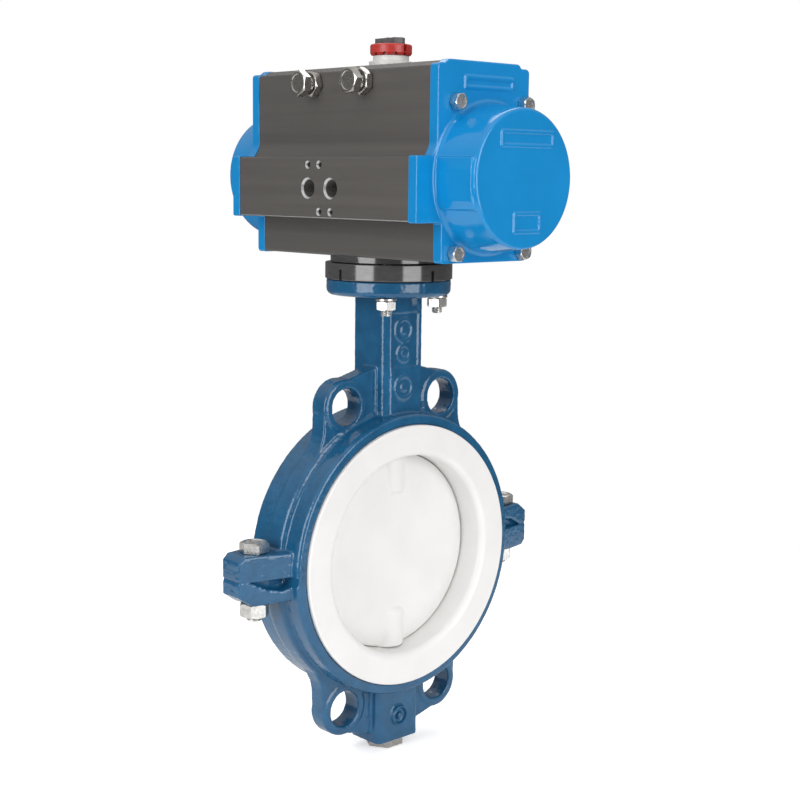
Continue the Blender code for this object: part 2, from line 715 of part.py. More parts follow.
def pinion(parent):
    base = extruded(pinion_outline(), BORE_Z - GEAR_HALF, BORE_Z + GEAR_HALF)
    shaft_low = [
        (0, 212.2), (JOURNAL_R, 212.2), (JOURNAL_R, 242), (GEAR_ROOT_R - 0.4, 246),
        (GEAR_ROOT_R - 0.4, BORE_Z + GEAR_HALF + 8), (NECK_R, BORE_Z + GEAR_HALF + 11), (NECK_R, 349.0),
        (NECK_R - 0.9, 349.0), (NECK_R - 0.9, 350.6), (NECK_R, 350.6), (NECK_R, 351.0), (9.0, 351.0),
        (9.0, 355.6), (0, 355.6),
    ]
    half = STEM_SQUARE / 2 + GAP
    cut = [
        box((-half, -half, 205), (half, half, STEM_TOP + 1)),
        cylinder(3.2, 342, 360, steps=HOLE_ROUND),
        box((-15, -2, 352.6), (15, 2, 360)),
    ]
    part("pinion", base, "steel", [turned(shaft_low, steps=SMALL_ROUND)], cut, parent=parent)


def stop_cam(parent):
    """A sector whose two straight faces meet the stop screws at the ends of the stroke."""
    edge = math.degrees(math.asin(CAM_FACE / CAM_R))
    outline = arc((0, 0), CAM_R, -edge, 90 + edge, 12)
    outline += [(-CAM_FACE, 0), (0, -CAM_FACE)]
    hub = cylinder(17.0, CAM_BOTTOM, CAM_TOP, steps=SMALL_ROUND)
    bore = cylinder(NECK_R + 0.5, 320, 350, steps=SMALL_ROUND)
    part("stop_cam", extruded(outline, CAM_BOTTOM, CAM_TOP), "steel", [hub], [bore], parent=parent)


def rack_outline():
    """The rack of the right-hand piston in X and Y: its teeth face +Y and a space is centred on X = 0."""
    slope = math.tan(PRESSURE_ANGLE)
    half = (RACK_PITCH - BACKLASH) / 4
    tip, root = half - ADDENDUM * slope, half + DEDENDUM * slope
    teeth = []
    count = int(RACK_TIP / RACK_PITCH) - 1
    for tooth in range(-count - 1, 5):
        middle = (tooth + 0.5) * RACK_PITCH
        teeth += [(middle - root, -PITCH_R - DEDENDUM), (middle - tip, -PITCH_R + ADDENDUM),
                  (middle + tip, -PITCH_R + ADDENDUM), (middle + root, -PITCH_R - DEDENDUM)]
    start = [(-RACK_TIP, -RACK_BACK), (-RACK_TIP, -PITCH_R - DEDENDUM)]
    end = [(PISTON_INNER + 1, -PITCH_R - DEDENDUM), (PISTON_INNER + 1, -RACK_BACK)]
    return start + teeth + end


def piston(side, end, parent):
    """The right-hand piston, or the left-hand one, which is the same piece turned half a turn."""
    groove = PISTON_OUTER - 6.0, PISTON_OUTER - 3.0
    profile = [
        (0, PISTON_INNER), (PISTON_R, PISTON_INNER), (PISTON_R, groove[0]), (39.4, groove[0]),
        (39.4, groove[1]), (PISTON_R, groove[1]), (PISTON_R, PISTON_OUTER), (0, PISTON_OUTER),
    ]
    base = moved(turned(profile, "X", ROUND), z=BORE_Z)
    rack = extruded(rack_outline(), BORE_Z - RACK_HALF, BORE_Z + RACK_HALF)
    seal = moved(ring(40.2, BORE_R - 0.2, groove[0] + GAP, groove[1] - GAP, "X", 24), z=BORE_Z)
    if side < 0:
        for bm in (base, rack, seal):
            bm.transform(Matrix.Rotation(math.pi, 4, "Z"))
    part(f"piston_{end}", base, "aluminium", [rack], origin=(0, 0, BORE_Z), parent=parent)
    part(f"piston_seal_{end}", seal, "rubber", origin=(0, 0, BORE_Z), parent=parent)


def return_spring(side, end):
    """A helical spring between the piston and the end cap."""
    low = PISTON_OUTER + GAP + SPRING_WIRE_R
    high = SPRING_SEAT - SPRING_WIRE_R
    per_turn, sides = 12, 4
    count = SPRING_TURNS * per_turn
    bm = bmesh.new()
    loops = []
    for i in range(count + 1):
        angle = math.tau * i / per_turn
        centre = Vector((low + (high - low) * i / count, 0, 0))
        outward = Vector((0, math.cos(angle), math.sin(angle)))
        loops.append([
            bm.verts.new(centre + outward * (SPRING_COIL_R + SPRING_WIRE_R * math.cos(math.tau * k / sides))
                         + Vector((SPRING_WIRE_R * math.sin(math.tau * k / sides), 0, 0)))
            for k in range(sides)
        ])
    for lower, upper in zip(loops, loops[1:]):
        for k in range(sides):
            m = (k + 1) % sides
            bm.faces.new((lower[k], lower[m], upper[m], upper[k]))
    bm.faces.new(loops[0])
    bm.faces.new(loops[-1])
    moved(face_outward(bm), z=BORE_Z)
    part(f"return_spring_{end}", bm if side > 0 else flipped(bm, "X"), "spring_steel", origin=(0, 0, BORE_Z))


def pinion_bearings():
    part("pinion_bush_lower", ring(JOURNAL_R + 0.5, 18.4, 213.5, 240, steps=SMALL_ROUND), "acetal")
    upper_bush = ring(NECK_R + 0.5, 13.3, CHAMBER_TOP + 0.2, PAD_TOP - 0.2, steps=SMALL_ROUND)
    part("pinion_bush_upper", upper_bush, "acetal")
    washer = ring(NECK_R + 0.5, INDICATOR_R, PAD_TOP + GAP, PAD_TOP + 1.8, steps=SMALL_ROUND)
    part("thrust_washer", washer, "acetal")


def snap_ring(parent):
    base = ring(NECK_R - 0.5, 13.4, 349.2, 350.3, steps=SMALL_ROUND)
    part("pinion_snap_ring", base, "spring_steel", cut=[box((0, -2, 340), (20, 2, 360))], parent=parent)


def stop_screws():
    for side, name in ((1, "closed"), (-1, "open")):
        x = side * STOP_X
        head_back = UPPER_FRONT - 9.6
        screw = aim(hex_bolt(16.0, 6.4, STOP_R, head_back * -1 - CAM_FACE - GAP), (0, -1, 0))
        axis = joint_axis(f"{name}_stop_axis", (x, UPPER_FRONT, STOP_Z))
        part(f"stop_screw_{name}", moved(screw, x, head_back, STOP_Z), "stainless",
             origin=(x, UPPER_FRONT, STOP_Z), parent=axis)
        nut = moved(aim(hex_nut(16.0, 5.6, STOP_R + GAP), (0, -1, 0)), x, UPPER_FRONT - GAP, STOP_Z)
        part(f"stop_lock_nut_{name}", nut, "stainless", origin=(x, UPPER_FRONT, STOP_Z))


# ---------------------------------------------------------------- position indicator

def indicator(parent):
    base_low = PAD_TOP + 2.1
    base = turned([
        (9.3, 351.3), (14.0, 351.3), (14.0, base_low), (INDICATOR_R, base_low), (INDICATOR_R, 356.0),
        (9.3, 356.0),
    ], steps=SMALL_ROUND)
    part("indicator_base", base, "acetal", parent=parent)
    cap_r = 14.8
    cap = turned([
        (3.4, 356.3), (cap_r, 356.3), (cap_r, 363.0), (cap_r - 1.0, 364.0), (3.4, 364.0),
    ], steps=SMALL_ROUND)
    slots = [box((-16, -1.2, 359.5), (-11.5, 1.2, 366)), box((11.5, -1.2, 359.5), (16, 1.2, 366))]
    part("indicator_cap", cap, "red_plastic", cut=slots, parent=parent)
    pointer = extruded([(-12, -5), (9, -5), (12, 0), (9, 5), (-12, 5)], 364.3, 368.4)
    holes = [cylinder(3.4, 360, 370, steps=HOLE_ROUND), cylinder(4.3, 367.0, 370, steps=HOLE_ROUND)]
    part("indicator_pointer", pointer, "grey_plastic", cut=holes, parent=parent)
    screw = hex_bolt(7.0, 1.6, 2.9, 20.0)
    part("indicator_screw", moved(screw, z=367.3), "stainless", parent=parent)


def build():
    clear_scene()
    drive = joint_axis("drive_axis", (0, 0, 0))
    upper_body()
    lower_body()
    seat_liner()
    liner_backing()
    valve_disc(drive)
    valve_stem(drive)
    stem_bearings()
    bottom_plug()
    clamp_bolts()
    mounting_ring()
    flange_studs()
    actuator_body()
    for side, end in ((1, "right"), (-1, "left")):
        end_cap(f"end_cap_{end}", side)
        cap_seal(f"cap_seal_{end}", side)
        piston(side, end, joint_axis(f"piston_{end}_axis", (0, 0, BORE_Z)))
        return_spring(side, end)
    cap_bolts()
    pinion(drive)
    stop_cam(drive)
    pinion_bearings()
    snap_ring(drive)
    stop_screws()
    indicator(drive)


build()
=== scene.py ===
"""Looks of a pneumatic actuator on a lined butterfly valve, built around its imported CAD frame.

Shapes are made in millimetres in the row frame (X along the pipe, Z up the stem, ports at -Y) and
become metres when a piece is placed. Positions come from the boxes of the CAD nodes.
"""

import json
import math

import bmesh
import bpy
from mathutils import Matrix, Vector, noise


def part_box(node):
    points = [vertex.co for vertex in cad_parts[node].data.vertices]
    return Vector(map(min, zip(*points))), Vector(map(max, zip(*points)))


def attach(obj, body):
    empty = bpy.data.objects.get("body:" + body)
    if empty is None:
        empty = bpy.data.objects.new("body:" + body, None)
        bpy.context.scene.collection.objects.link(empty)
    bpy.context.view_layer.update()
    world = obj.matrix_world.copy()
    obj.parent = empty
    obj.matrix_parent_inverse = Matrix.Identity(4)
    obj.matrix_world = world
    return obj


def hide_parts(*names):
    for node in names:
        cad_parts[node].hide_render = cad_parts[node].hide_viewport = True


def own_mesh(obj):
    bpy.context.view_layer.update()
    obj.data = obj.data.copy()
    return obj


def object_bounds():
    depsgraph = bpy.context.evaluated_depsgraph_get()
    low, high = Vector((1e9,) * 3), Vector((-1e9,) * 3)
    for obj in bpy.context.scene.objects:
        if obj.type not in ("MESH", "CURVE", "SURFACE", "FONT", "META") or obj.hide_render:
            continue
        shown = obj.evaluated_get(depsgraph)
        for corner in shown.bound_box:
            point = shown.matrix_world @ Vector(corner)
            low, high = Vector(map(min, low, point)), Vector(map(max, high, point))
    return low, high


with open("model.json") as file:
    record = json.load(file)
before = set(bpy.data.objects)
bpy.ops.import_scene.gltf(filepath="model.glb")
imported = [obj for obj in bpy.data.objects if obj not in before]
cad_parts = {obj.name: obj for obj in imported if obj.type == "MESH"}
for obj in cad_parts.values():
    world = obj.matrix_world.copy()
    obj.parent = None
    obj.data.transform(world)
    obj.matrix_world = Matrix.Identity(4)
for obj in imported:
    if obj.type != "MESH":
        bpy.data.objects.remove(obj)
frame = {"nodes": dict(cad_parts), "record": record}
cad_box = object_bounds()

MM = 0.001
GAP = 0.3
FINE = 96
MID = 48
SLOT_OF = {row["node"]: row["material_slot"] for row in frame["record"]["subparts"]}
BODY_OF = {node: body for body, nodes in frame["record"]["behaviour"]["bodies"].items() for node in nodes}


def box_of(node):
    low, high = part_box(node)
    return low / MM, high / MM


def middle_of(node):
    low, high = box_of(node)
    return (low + high) / 2


# ---------------------------------------------------------------- driving dimensions

HOUSING_LOW, HOUSING_HIGH = box_of("actuator_body")
CAP_LOW, CAP_HIGH = box_of("end_cap_right")
BORE_Z = middle_of("cap_seal_right").z
HALF_LENGTH = HOUSING_HIGH.x
BAND_FRONT = HOUSING_LOW.y
PAD_TOP = HOUSING_HIGH.z
BODY_BOTTOM = HOUSING_LOW.z + 4.7
SHOULDER_TOP = PAD_TOP - 2.9
BAND_TOP = BORE_Z + 13.6
BAND_BOTTOM = BORE_Z - 28.4
UPPER_FRONT = -47.4
LOWER_FRONT = -42.6
REAR = 37.0
REAR_BULGE = HOUSING_HIGH.y
PAD_FRONT = -38.0
PAD_REAR = 27.0
BORE_R = 42.5
BOSS_R = 42.0
PORT_Z = BORE_Z - 7.9
PORT_X = 12.0
PORT_R = 6.0
PORT_PITCH = 1.3
PORT_SCREW_R = 2.0
PORT_SCREW_REACH = 16.0
AIRWAY_R = 3.0
AIRWAY_Y = -52.4
JOURNAL_HOLE_R = 18.9
NECK_HOLE_R = 13.8
CHAMBER_R = 33.0
CHAMBER_ROOF = 5.4
STOP_HOLE_R = 5.1
STUD_HOLE_TOP = 229.0
STOP_X = middle_of("stop_screw_closed").x
STOP_Z = middle_of("stop_screw_closed").z
PLATE_END = box_of("cap_bolt_right_1")[0].x + 19.7
CAP_GROW = 0.6
DOME_R = 49.3
DOME_RIM_R = 45.6
PLAQUE_RISE = 0.8
PLAQUE_EDGE = 1.7
DOME_END = CAP_HIGH.x - PLAQUE_RISE
CAP_HOLLOW_END = 127.3
CAP_TAPPED_R = 3.1
CAP_HOLE_R = 3.3
CAP_FACE_R = 6.6
SEAL_GROOVE_R = 44.0
SEAL_GROOVE_OUTER_R = 46.5

FLANGE_TOP = box_of("valve_body_upper")[1].z
FLANGE_BOTTOM = box_of("flange_washer_1")[1].z + GAP
FLANGE_R = 44.8
STUD_REACH = middle_of("flange_stud_1").x
STUD_R = 3.9
SPOT_FACE_R = 9.2

LINER_HIGH = box_of("seat_liner")[1]
LINER_R = LINER_HIGH.z
LINER_FLANGE = 3.8
BACKING_R = 87.0
BACKING_HALF = 16.0
SEAT_BORE_R = 73.0
SEAT_TUBE_R = 79.0
BODY_FACE = 25.5
RIM_R = 102.0
CROWN_R = 107.0
CROWN_X = 9.0
LUG_PITCH_R = 120.0
LUG_ANGLE = math.radians(22.5)
LUG_R = 20.0
LUG_HOLE_R = 13.3
LUG_FRONT = 7.5
LUG_REAR = -6.5
NECK_HALF = 17.6
NECK_CHAMFER = 4.6
PANEL_DEPTH = 0.8
BOSS_HALF_X = 15.0
BOSS_HALF_Y = 19.4
BOSS_CHAMFER = 3.5
BOSS_BOTTOM = box_of("valve_body_lower")[0].z
EAR_END = box_of("valve_body_upper")[1].y - GAP
EAR_HEIGHT = 17.5
EAR_HALF = 9.5
EAR_FLARE = 0.22
EAR_WEB_HALF = 8.0
SPLIT_HALF_GAP = 0.03
PLUG_FLATS = 25.4
PLUG_SHANK_R = 11.7
CLAMP_Y = middle_of("clamp_bolt_rear").y
CLAMP_HOLE_R = 6.3
CLAMP_FACE_R = 11.5
BUSH_R = 12.8
PACKING_R = 15.8
PACKING_FLOOR = 178
DISC_R = 72.5
DISC_CROWN = 11.5
STEM_R = 9.5
SPRING_WIRE_R = 2.4


# ---------------------------------------------------------------- outlines

def arc(centre, radius, start, end, count):
    """Points on an arc, from angle start to end in degrees."""
    angles = [math.radians(start + (end - start) * i / count) for i in range(count + 1)]
    return [(centre[0] + radius * math.cos(a), centre[1] + radius * math.sin(a)) for a in angles]


def rounded(points, closed=True, steps=5):
    """An outline whose corners are rounded. Each point is (a, b) or (a, b, corner radius)."""
    result = []
    for i, point in enumerate(points):
        here = Vector(point[:2])
        radius = point[2] if len(point) > 2 else 0.0
        if radius == 0 or (not closed and i in (0, len(points) - 1)):
            result.append(tuple(here))
            continue
        back = Vector(points[i - 1][:2]) - here
        ahead = Vector(points[(i + 1) % len(points)][:2]) - here
        turn = back.angle(ahead)
        reach = radius / math.tan(turn / 2)
        reach = min(reach, back.length * 0.49, ahead.length * 0.49)
        radius = reach * math.tan(turn / 2)
        bisector = (back.normalized() + ahead.normalized()).normalized()
        centre = here + bisector * (radius / math.sin(turn / 2))
        start = here + back.normalized() * reach - centre
        end = here + ahead.normalized() * reach - centre
        sweep = start.angle_signed(end)
        for k in range(steps + 1):
            spoke = start.copy()
            spoke.rotate(Matrix.Rotation(-sweep * k / steps, 2))
            result.append(tuple(centre + spoke))
    return result


def mirrored(half):
    """An outline symmetric about the second axis, from the points of its positive half."""
    return half + [(-a, b) for a, b in reversed(half) if a > 0]


# ---------------------------------------------------------------- shapes

AXES = {"X": Vector((1, 0, 0)), "Y": Vector((0, 1, 0)), "Z": Vector((0, 0, 1))}


def face_outward(bm):
    bmesh.ops.recalc_face_normals(bm, faces=bm.faces)
    if bm.calc_volume(signed=True) < 0:
        bmesh.ops.reverse_faces(bm, faces=bm.faces)
    return bm


def along(bm, axis):
    """Turns a shape made along Z so that it lies along the axis."""
    if axis == "X":
        bm.transform(Matrix.Rotation(math.pi / 2, 4, "Y"))
    if axis == "Y":
        bm.transform(Matrix.Rotation(-math.pi / 2, 4, "X"))
    return bm


def lathe(profile, axis="Z", steps=FINE):
    """A solid of revolution. Its (radius, height) profile is a loop, or a line that ends on the axis."""
    bm = bmesh.new()
    verts = [bm.verts.new((point[0], 0, point[1])) for point in profile]
    pairs = list(zip(verts, verts[1:]))
    if all(point[0] > 0 for point in profile):
        pairs.append((verts[-1], verts[0]))
    edges = [bm.edges.new(pair) for pair in pairs]
    bmesh.ops.spin(bm, geom=verts + edges, cent=(0, 0, 0), axis=(0, 0, 1),
                   angle=math.tau, steps=steps, use_merge=True)
    bmesh.ops.remove_doubles(bm, verts=bm.verts, dist=0.001)
    return along(face_outward(bm), axis)


def prism(outline, low, high, axis="Z"):
    """A prism: the outline holds the two coordinates across the axis, in X, Y, Z order."""
    places = {"X": lambda a, b: (low, a, b), "Y": lambda a, b: (a, low, b), "Z": lambda a, b: (a, b, low)}
    bm = bmesh.new()
    face = bm.faces.new([bm.verts.new(places[axis](a, b)) for a, b in outline])
    raised = bmesh.ops.extrude_face_region(bm, geom=[face])["geom"]
    new = [item for item in raised if isinstance(item, bmesh.types.BMVert)]
    bmesh.ops.translate(bm, verts=new, vec=AXES[axis] * (high - low))
    return face_outward(bm)


def rod(radius, low, high, axis="Z", centre=(0, 0, 0), steps=MID, edge=0.0):
    """A cylinder, with its two rims rounded by the edge radius."""
    profile = [(0, low), (radius, low, edge), (radius, high, edge), (0, high)]
    bm = lathe(rounded(profile, closed=False, steps=3), axis, steps)
    bm.transform(Matrix.Translation(centre))
    return bm


def tube(inner, outer, low, high, axis="Z", steps=MID, edge=0.0):
    profile = [(inner, low, edge), (outer, low, edge), (outer, high, edge), (inner, high, edge)]
    return lathe(rounded(profile, steps=3), axis, steps)


def block(low, high):
    corners = [(low[0], low[1]), (high[0], low[1]), (high[0], high[1]), (low[0], high[1])]
    return prism(corners, low[2], high[2])


def skinned(bm, loops):
    """Closes a row of loops of vertices, each as long as the next, into a solid."""
    for first, second in zip(loops, loops[1:]):
        for i in range(len(first)):
            j = (i + 1) % len(first)
            bm.faces.new((first[i], first[j], second[j], second[i]))
    bm.faces.new(loops[0])
    bm.faces.new(loops[-1])
    return face_outward(bm)


def moved(bm, x=0, y=0, z=0):
    bm.transform(Matrix.Translation((x, y, z)))
    return bm


def flipped(bm, axis):
    bm.transform(Matrix.Scale(-1, 4, AXES[axis]))
    return face_outward(bm)


def new_object(name, bm):
    mesh = bpy.data.meshes.new(name)
    bm.to_mesh(mesh)
    bm.free()
    obj = bpy.data.objects.new(name, mesh)
    bpy.context.scene.collection.objects.link(obj)
    return obj


def apply_modifiers(obj):
    graph = bpy.context.evaluated_depsgraph_get()
    result = bpy.data.meshes.new_from_object(obj.evaluated_get(graph))
    obj.modifiers.clear()
    obj.data = result
    return obj


def boolean(obj, operation, bm):
    """Joins a shape to the object, or cuts it away."""
    if isinstance(bm, bmesh.types.BMesh):
        bmesh.ops.triangulate(bm, faces=[f for f in bm.faces if len(f.verts) > 4])
    other = new_object("operand", bm)
    modifier = obj.modifiers.new(operation.lower(), "BOOLEAN")
    modifier.operation = operation
    modifier.object = other
    modifier.solver = "MANIFOLD"
    apply_modifiers(obj)
    bpy.data.objects.remove(other)
    return obj


def cut_away(obj, shapes):
    for bm in shapes:
        boolean(obj, "DIFFERENCE", bm)
    return obj


def built(name, base, joined, cut=()):
    """An object still in millimetres: a base shape, shapes joined to it and shapes cut from it."""
    obj = new_object(name, base)
    for bm in joined:
        boolean(obj, "UNION", bm)
    return cut_away(obj, cut)


LUMP_SIZE = 3.2
LUMP_HEIGHT = 0.13


def cast(obj, voxel, passes, lumps=0.0):
    """Rounds every edge and fills every inside corner of a shape, then roughens it, as in a sand casting."""
    remesh = obj.modifiers.new("remesh", "REMESH")
    remesh.mode = "VOXEL"
    remesh.voxel_size = voxel
    smooth = obj.modifiers.new("smooth", "SMOOTH")
    smooth.factor = 0.5
    smooth.iterations = passes
    apply_modifiers(obj)
    if lumps:
        places = []
        for vert in obj.data.vertices:
            height = noise.noise(vert.co / LUMP_SIZE) + 0.6 * noise.noise(vert.co / LUMP_SIZE * 2.3)
            places.extend(vert.co + vert.normal * height * lumps)
        obj.data.vertices.foreach_set("co", places)
        obj.data.update()
    return obj


def soften(obj, width, angle=30):
    """A small bevel along the sharp edges."""
    bevel = obj.modifiers.new("bevel", "BEVEL")
    bevel.width = width
    bevel.segments = 2
    bevel.limit_method = "ANGLE"
    bevel.angle_limit = math.radians(angle)
    return apply_modifiers(obj)


def clean(obj):
    """Joins the flat slivers that Booleans leave."""
    bm = bmesh.new()
    bm.from_mesh(obj.data)
    bmesh.ops.dissolve_limit(bm, angle_limit=math.radians(0.5), verts=bm.verts, edges=bm.edges)
    bm.to_mesh(obj.data)
    bm.free()
    return obj


# ---------------------------------------------------------------- placing

def finish_piece(obj, node, sharp=35, weighted=True):
    """Gives a piece in metres its shading, finish and body, and hides the CAD node it stands for."""
    if not obj.data.materials:
        obj.data.materials.append(None)
    obj.data.materials[0] = finishes[SLOT_OF[node]]
    obj.data.shade_smooth()
    obj.data.set_sharp_from_angle(angle=math.radians(sharp))
    if weighted:
        normals = obj.modifiers.new("normals", "WEIGHTED_NORMAL")
        normals.keep_sharp = True
        normals.weight = 80
    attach(obj, BODY_OF[node])
    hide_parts(node)
    return obj


def bare_where(obj, inside, material):
    """Gives a second finish to the faces, in millimetres, whose middle is inside."""
    if not obj.data.materials:
        obj.data.materials.append(None)
    obj.data.materials.append(material)
    for face in obj.data.polygons:
        if inside(face.center, face.normal):
            face.material_index = len(obj.data.materials) - 1


def place(obj, node, **options):
    """Turns a shape in millimetres into the piece that stands for the CAD node."""
    obj.data.transform(Matrix.Scale(MM, 4))
    return finish_piece(obj, node, **options)


def place_copies(obj, spots, **options):
    """The same fastener at each of its spots: (piece name, CAD node, matrix in millimetres)."""
    obj.data.transform(Matrix.Scale(MM, 4))
    for name, node, matrix in spots:
        copy = bpy.data.objects.new(name, obj.data)
        bpy.context.scene.collection.objects.link(copy)
        location, rotation, _ = matrix.decompose()
        copy.location = location * MM
        copy.rotation_mode = "QUATERNION"
        copy.rotation_quaternion = rotation
        finish_piece(copy, node, **options)
    bpy.data.objects.remove(obj)


def towards(direction, spot, spin=0.0):
    """A matrix that turns +Z to the direction, after a spin about it in degrees, and moves to the spot."""
    turn = Vector((0, 0, 1)).rotation_difference(Vector(direction)).to_matrix().to_4x4()
    return Matrix.Translation(spot) @ turn @ Matrix.Rotation(math.radians(spin), 4, "Z")


# ---------------------------------------------------------------- materials

EVEN = (1, 1, 1)
DRAWN = (0.03, 1, 1)


def ramp(tree, value, low, high, start=0.0, end=1.0):
    """A linear map of a socket from start..end to low..high."""
    node = tree.nodes.new("ShaderNodeMapRange")
    node.inputs["From Min"].default_value = start
    node.inputs["From Max"].default_value = end
    node.inputs["To Min"].default_value = low
    node.inputs["To Max"].default_value = high
    tree.links.new(value, node.inputs["Value"])
    return node.outputs["Result"]


def noise_of(tree, scale, stretch=EVEN, detail=4.0, seed=0.0):
    """Noise in object space. The scale is in grains per metre."""
    where = tree.nodes.new("ShaderNodeTexCoord")
    mapping = tree.nodes.new("ShaderNodeMapping")
    mapping.inputs["Scale"].default_value = stretch
    mapping.inputs["Location"].default_value = (seed, seed * 0.37, -seed * 0.61)
    texture = tree.nodes.new("ShaderNodeTexNoise")
    texture.inputs["Scale"].default_value = scale
    texture.inputs["Detail"].default_value = detail
    texture.inputs["Roughness"].default_value = 0.55
    tree.links.new(where.outputs["Object"], mapping.inputs["Vector"])
    tree.links.new(mapping.outputs["Vector"], texture.inputs["Vector"])
    return texture.outputs["Fac"]


def mixed(tree, factor, first, second):
    node = tree.nodes.new("ShaderNodeMix")
    node.data_type = "RGBA"
    node.inputs["A"].default_value = (*first, 1)
    node.inputs["B"].default_value = (*second, 1)
    tree.links.new(factor, node.inputs["Factor"])
    return node.outputs["Result"]


def bumped(tree, height, distance, strength, before=None):
    node = tree.nodes.new("ShaderNodeBump")
    node.inputs["Distance"].default_value = distance
    node.inputs["Strength"].default_value = strength
    tree.links.new(height, node.inputs["Height"])
    if before:
        tree.links.new(before, node.inputs["Normal"])
    return node.outputs["Normal"]


def surface(name, dark, light, rough, metallic=0.0, *, tone, grain=(900, EVEN), relief=0.00003,
            strength=0.3, broad=None, ior=1.5):
    """A procedural finish: its colour drifts between two tones, and a finer grain roughens it.

    tone and grain are (grains per metre, stretch along X, Y and Z). relief is the depth of the grain
    in metres. broad adds a second, wider relief, as (grains per metre, depth in metres, strength).
    """
    material = bpy.data.materials.new(name)
    material.use_nodes = True
    tree = material.node_tree
    shader = tree.nodes["Principled BSDF"]
    shader.inputs["Metallic"].default_value = metallic
    shader.inputs["IOR"].default_value = ior
    drift = noise_of(tree, tone[0], tone[1])
    fine = noise_of(tree, grain[0], grain[1], seed=3.7)
    share = ramp(tree, drift, 0, 1, 0.35, 0.65)
    tree.links.new(mixed(tree, share, dark, light), shader.inputs["Base Color"])
    tree.links.new(ramp(tree, fine, *rough, 0.3, 0.7), shader.inputs["Roughness"])
    normal = bumped(tree, fine, relief, strength)
    if broad:
        normal = bumped(tree, noise_of(tree, broad[0], seed=8.1, detail=2.0), broad[1], broad[2], normal)
    tree.links.new(normal, shader.inputs["Normal"])
    return material


finishes = {
    "anodised": surface("hard_anodised", (0.100, 0.094, 0.089), (0.114, 0.107, 0.101), (0.42, 0.54), 0.25,
                        tone=(160, DRAWN), grain=(3200, (0.05, 1, 1)), relief=0.00001, strength=0.2,
                        broad=(45, 0.0002, 0.05)),
    "cap_paint": surface("blue_gloss_coat", (0.004, 0.230, 0.550), (0.006, 0.252, 0.600), (0.06, 0.14),
                         tone=(25, EVEN), grain=(520, EVEN), relief=0.00004, strength=0.12,
                         broad=(130, 0.0002, 0.16), ior=1.55),
    "valve_paint": surface("blue_epoxy_on_iron", (0.008, 0.080, 0.178), (0.012, 0.102, 0.222), (0.10, 0.22),
                           tone=(90, EVEN), grain=(600, EVEN), relief=0.0001, strength=0.35,
                           broad=(330, 0.0003, 0.4), ior=1.6),
    "black_oxide": surface("black_polished", (0.105, 0.103, 0.106), (0.13, 0.127, 0.128), (0.08, 0.16), 0.5,
                           tone=(120, (1, 1, 6)), grain=(1500, (0.3, 0.3, 6)), relief=0.00001, strength=0.15),
    "ptfe": surface("white_ptfe", (0.785, 0.775, 0.765), (0.82, 0.812, 0.80), (0.34, 0.46),
                    tone=(30, EVEN), grain=(600, EVEN), strength=0.15, broad=(60, 0.0003, 0.08)),
    "stainless": surface("stainless_steel", (0.44, 0.42, 0.395), (0.58, 0.56, 0.53), (0.20, 0.38), 1.0,
                         tone=(420, EVEN), relief=0.00008),
    "zinc": surface("bright_zinc", (0.58, 0.57, 0.55), (0.76, 0.75, 0.73), (0.24, 0.40), 1.0,
                    tone=(420, EVEN), relief=0.00005, strength=0.25),
    "aluminium": surface("machined_aluminium", (0.56, 0.56, 0.57), (0.66, 0.66, 0.67), (0.26, 0.42), 1.0,
                         tone=(200, EVEN), grain=(1600, (8, 1, 1)), strength=0.25),
    "steel": surface("machined_steel", (0.36, 0.35, 0.34), (0.46, 0.45, 0.44), (0.28, 0.42), 1.0,
                     tone=(200, EVEN), grain=(1500, (1, 1, 6)), strength=0.25),
    "spring_steel": surface("blued_spring_steel", (0.09, 0.14, 0.21), (0.14, 0.20, 0.28), (0.30, 0.45), 0.8,
                            tone=(200, EVEN), grain=(1300, EVEN)),
    "rubber": surface("black_rubber", (0.012, 0.012, 0.012), (0.022, 0.022, 0.022), (0.55, 0.75),
                      tone=(150, EVEN), relief=0.00005),
    "acetal": surface("natural_acetal", (0.66, 0.66, 0.64), (0.76, 0.76, 0.74), (0.28, 0.42),
                      tone=(90, EVEN), strength=0.15),
    "red_plastic": surface("red_plastic", (0.46, 0.030, 0.026), (0.56, 0.045, 0.038), (0.26, 0.38),
                           tone=(160, EVEN), grain=(1100, EVEN), relief=0.00004, strength=0.25),
    "grey_plastic": surface("grey_plastic", (0.085, 0.085, 0.09), (0.12, 0.12, 0.125), (0.32, 0.46),
                            tone=(160, EVEN), grain=(1100, EVEN), relief=0.00004),
}


# ---------------------------------------------------------------- fasteners

def hexagon(flats):
    reach = flats / 2 / math.cos(math.pi / 6)
    return arc((0, 0), reach, 0, 300, 5)


def chamfered_hex(flats, low, high, both=False, dish=0.0):
    """A hexagonal head or nut whose corners are turned off at its top, or at both ends."""
    reach = flats / 2 / math.cos(math.pi / 6)
    outer = reach + 1
    drop = (outer - flats / 2 * 0.95) * math.tan(math.radians(30))
    foot = [(0, low), (flats / 2 * 0.95, low), (outer, low + drop)] if both else [(0, low), (outer, low)]
    crown = [(outer, high - drop), (flats / 2 * 0.95, high)]
    if dish:
        crown += [(flats / 2 * 0.80, high), (flats / 2 * 0.74, high - dish)]
    crown += [(0, high - dish)]
    obj = new_object("hex", prism(hexagon(flats), low, high))
    boolean(obj, "INTERSECT", lathe(foot + crown, steps=MID))
    return obj


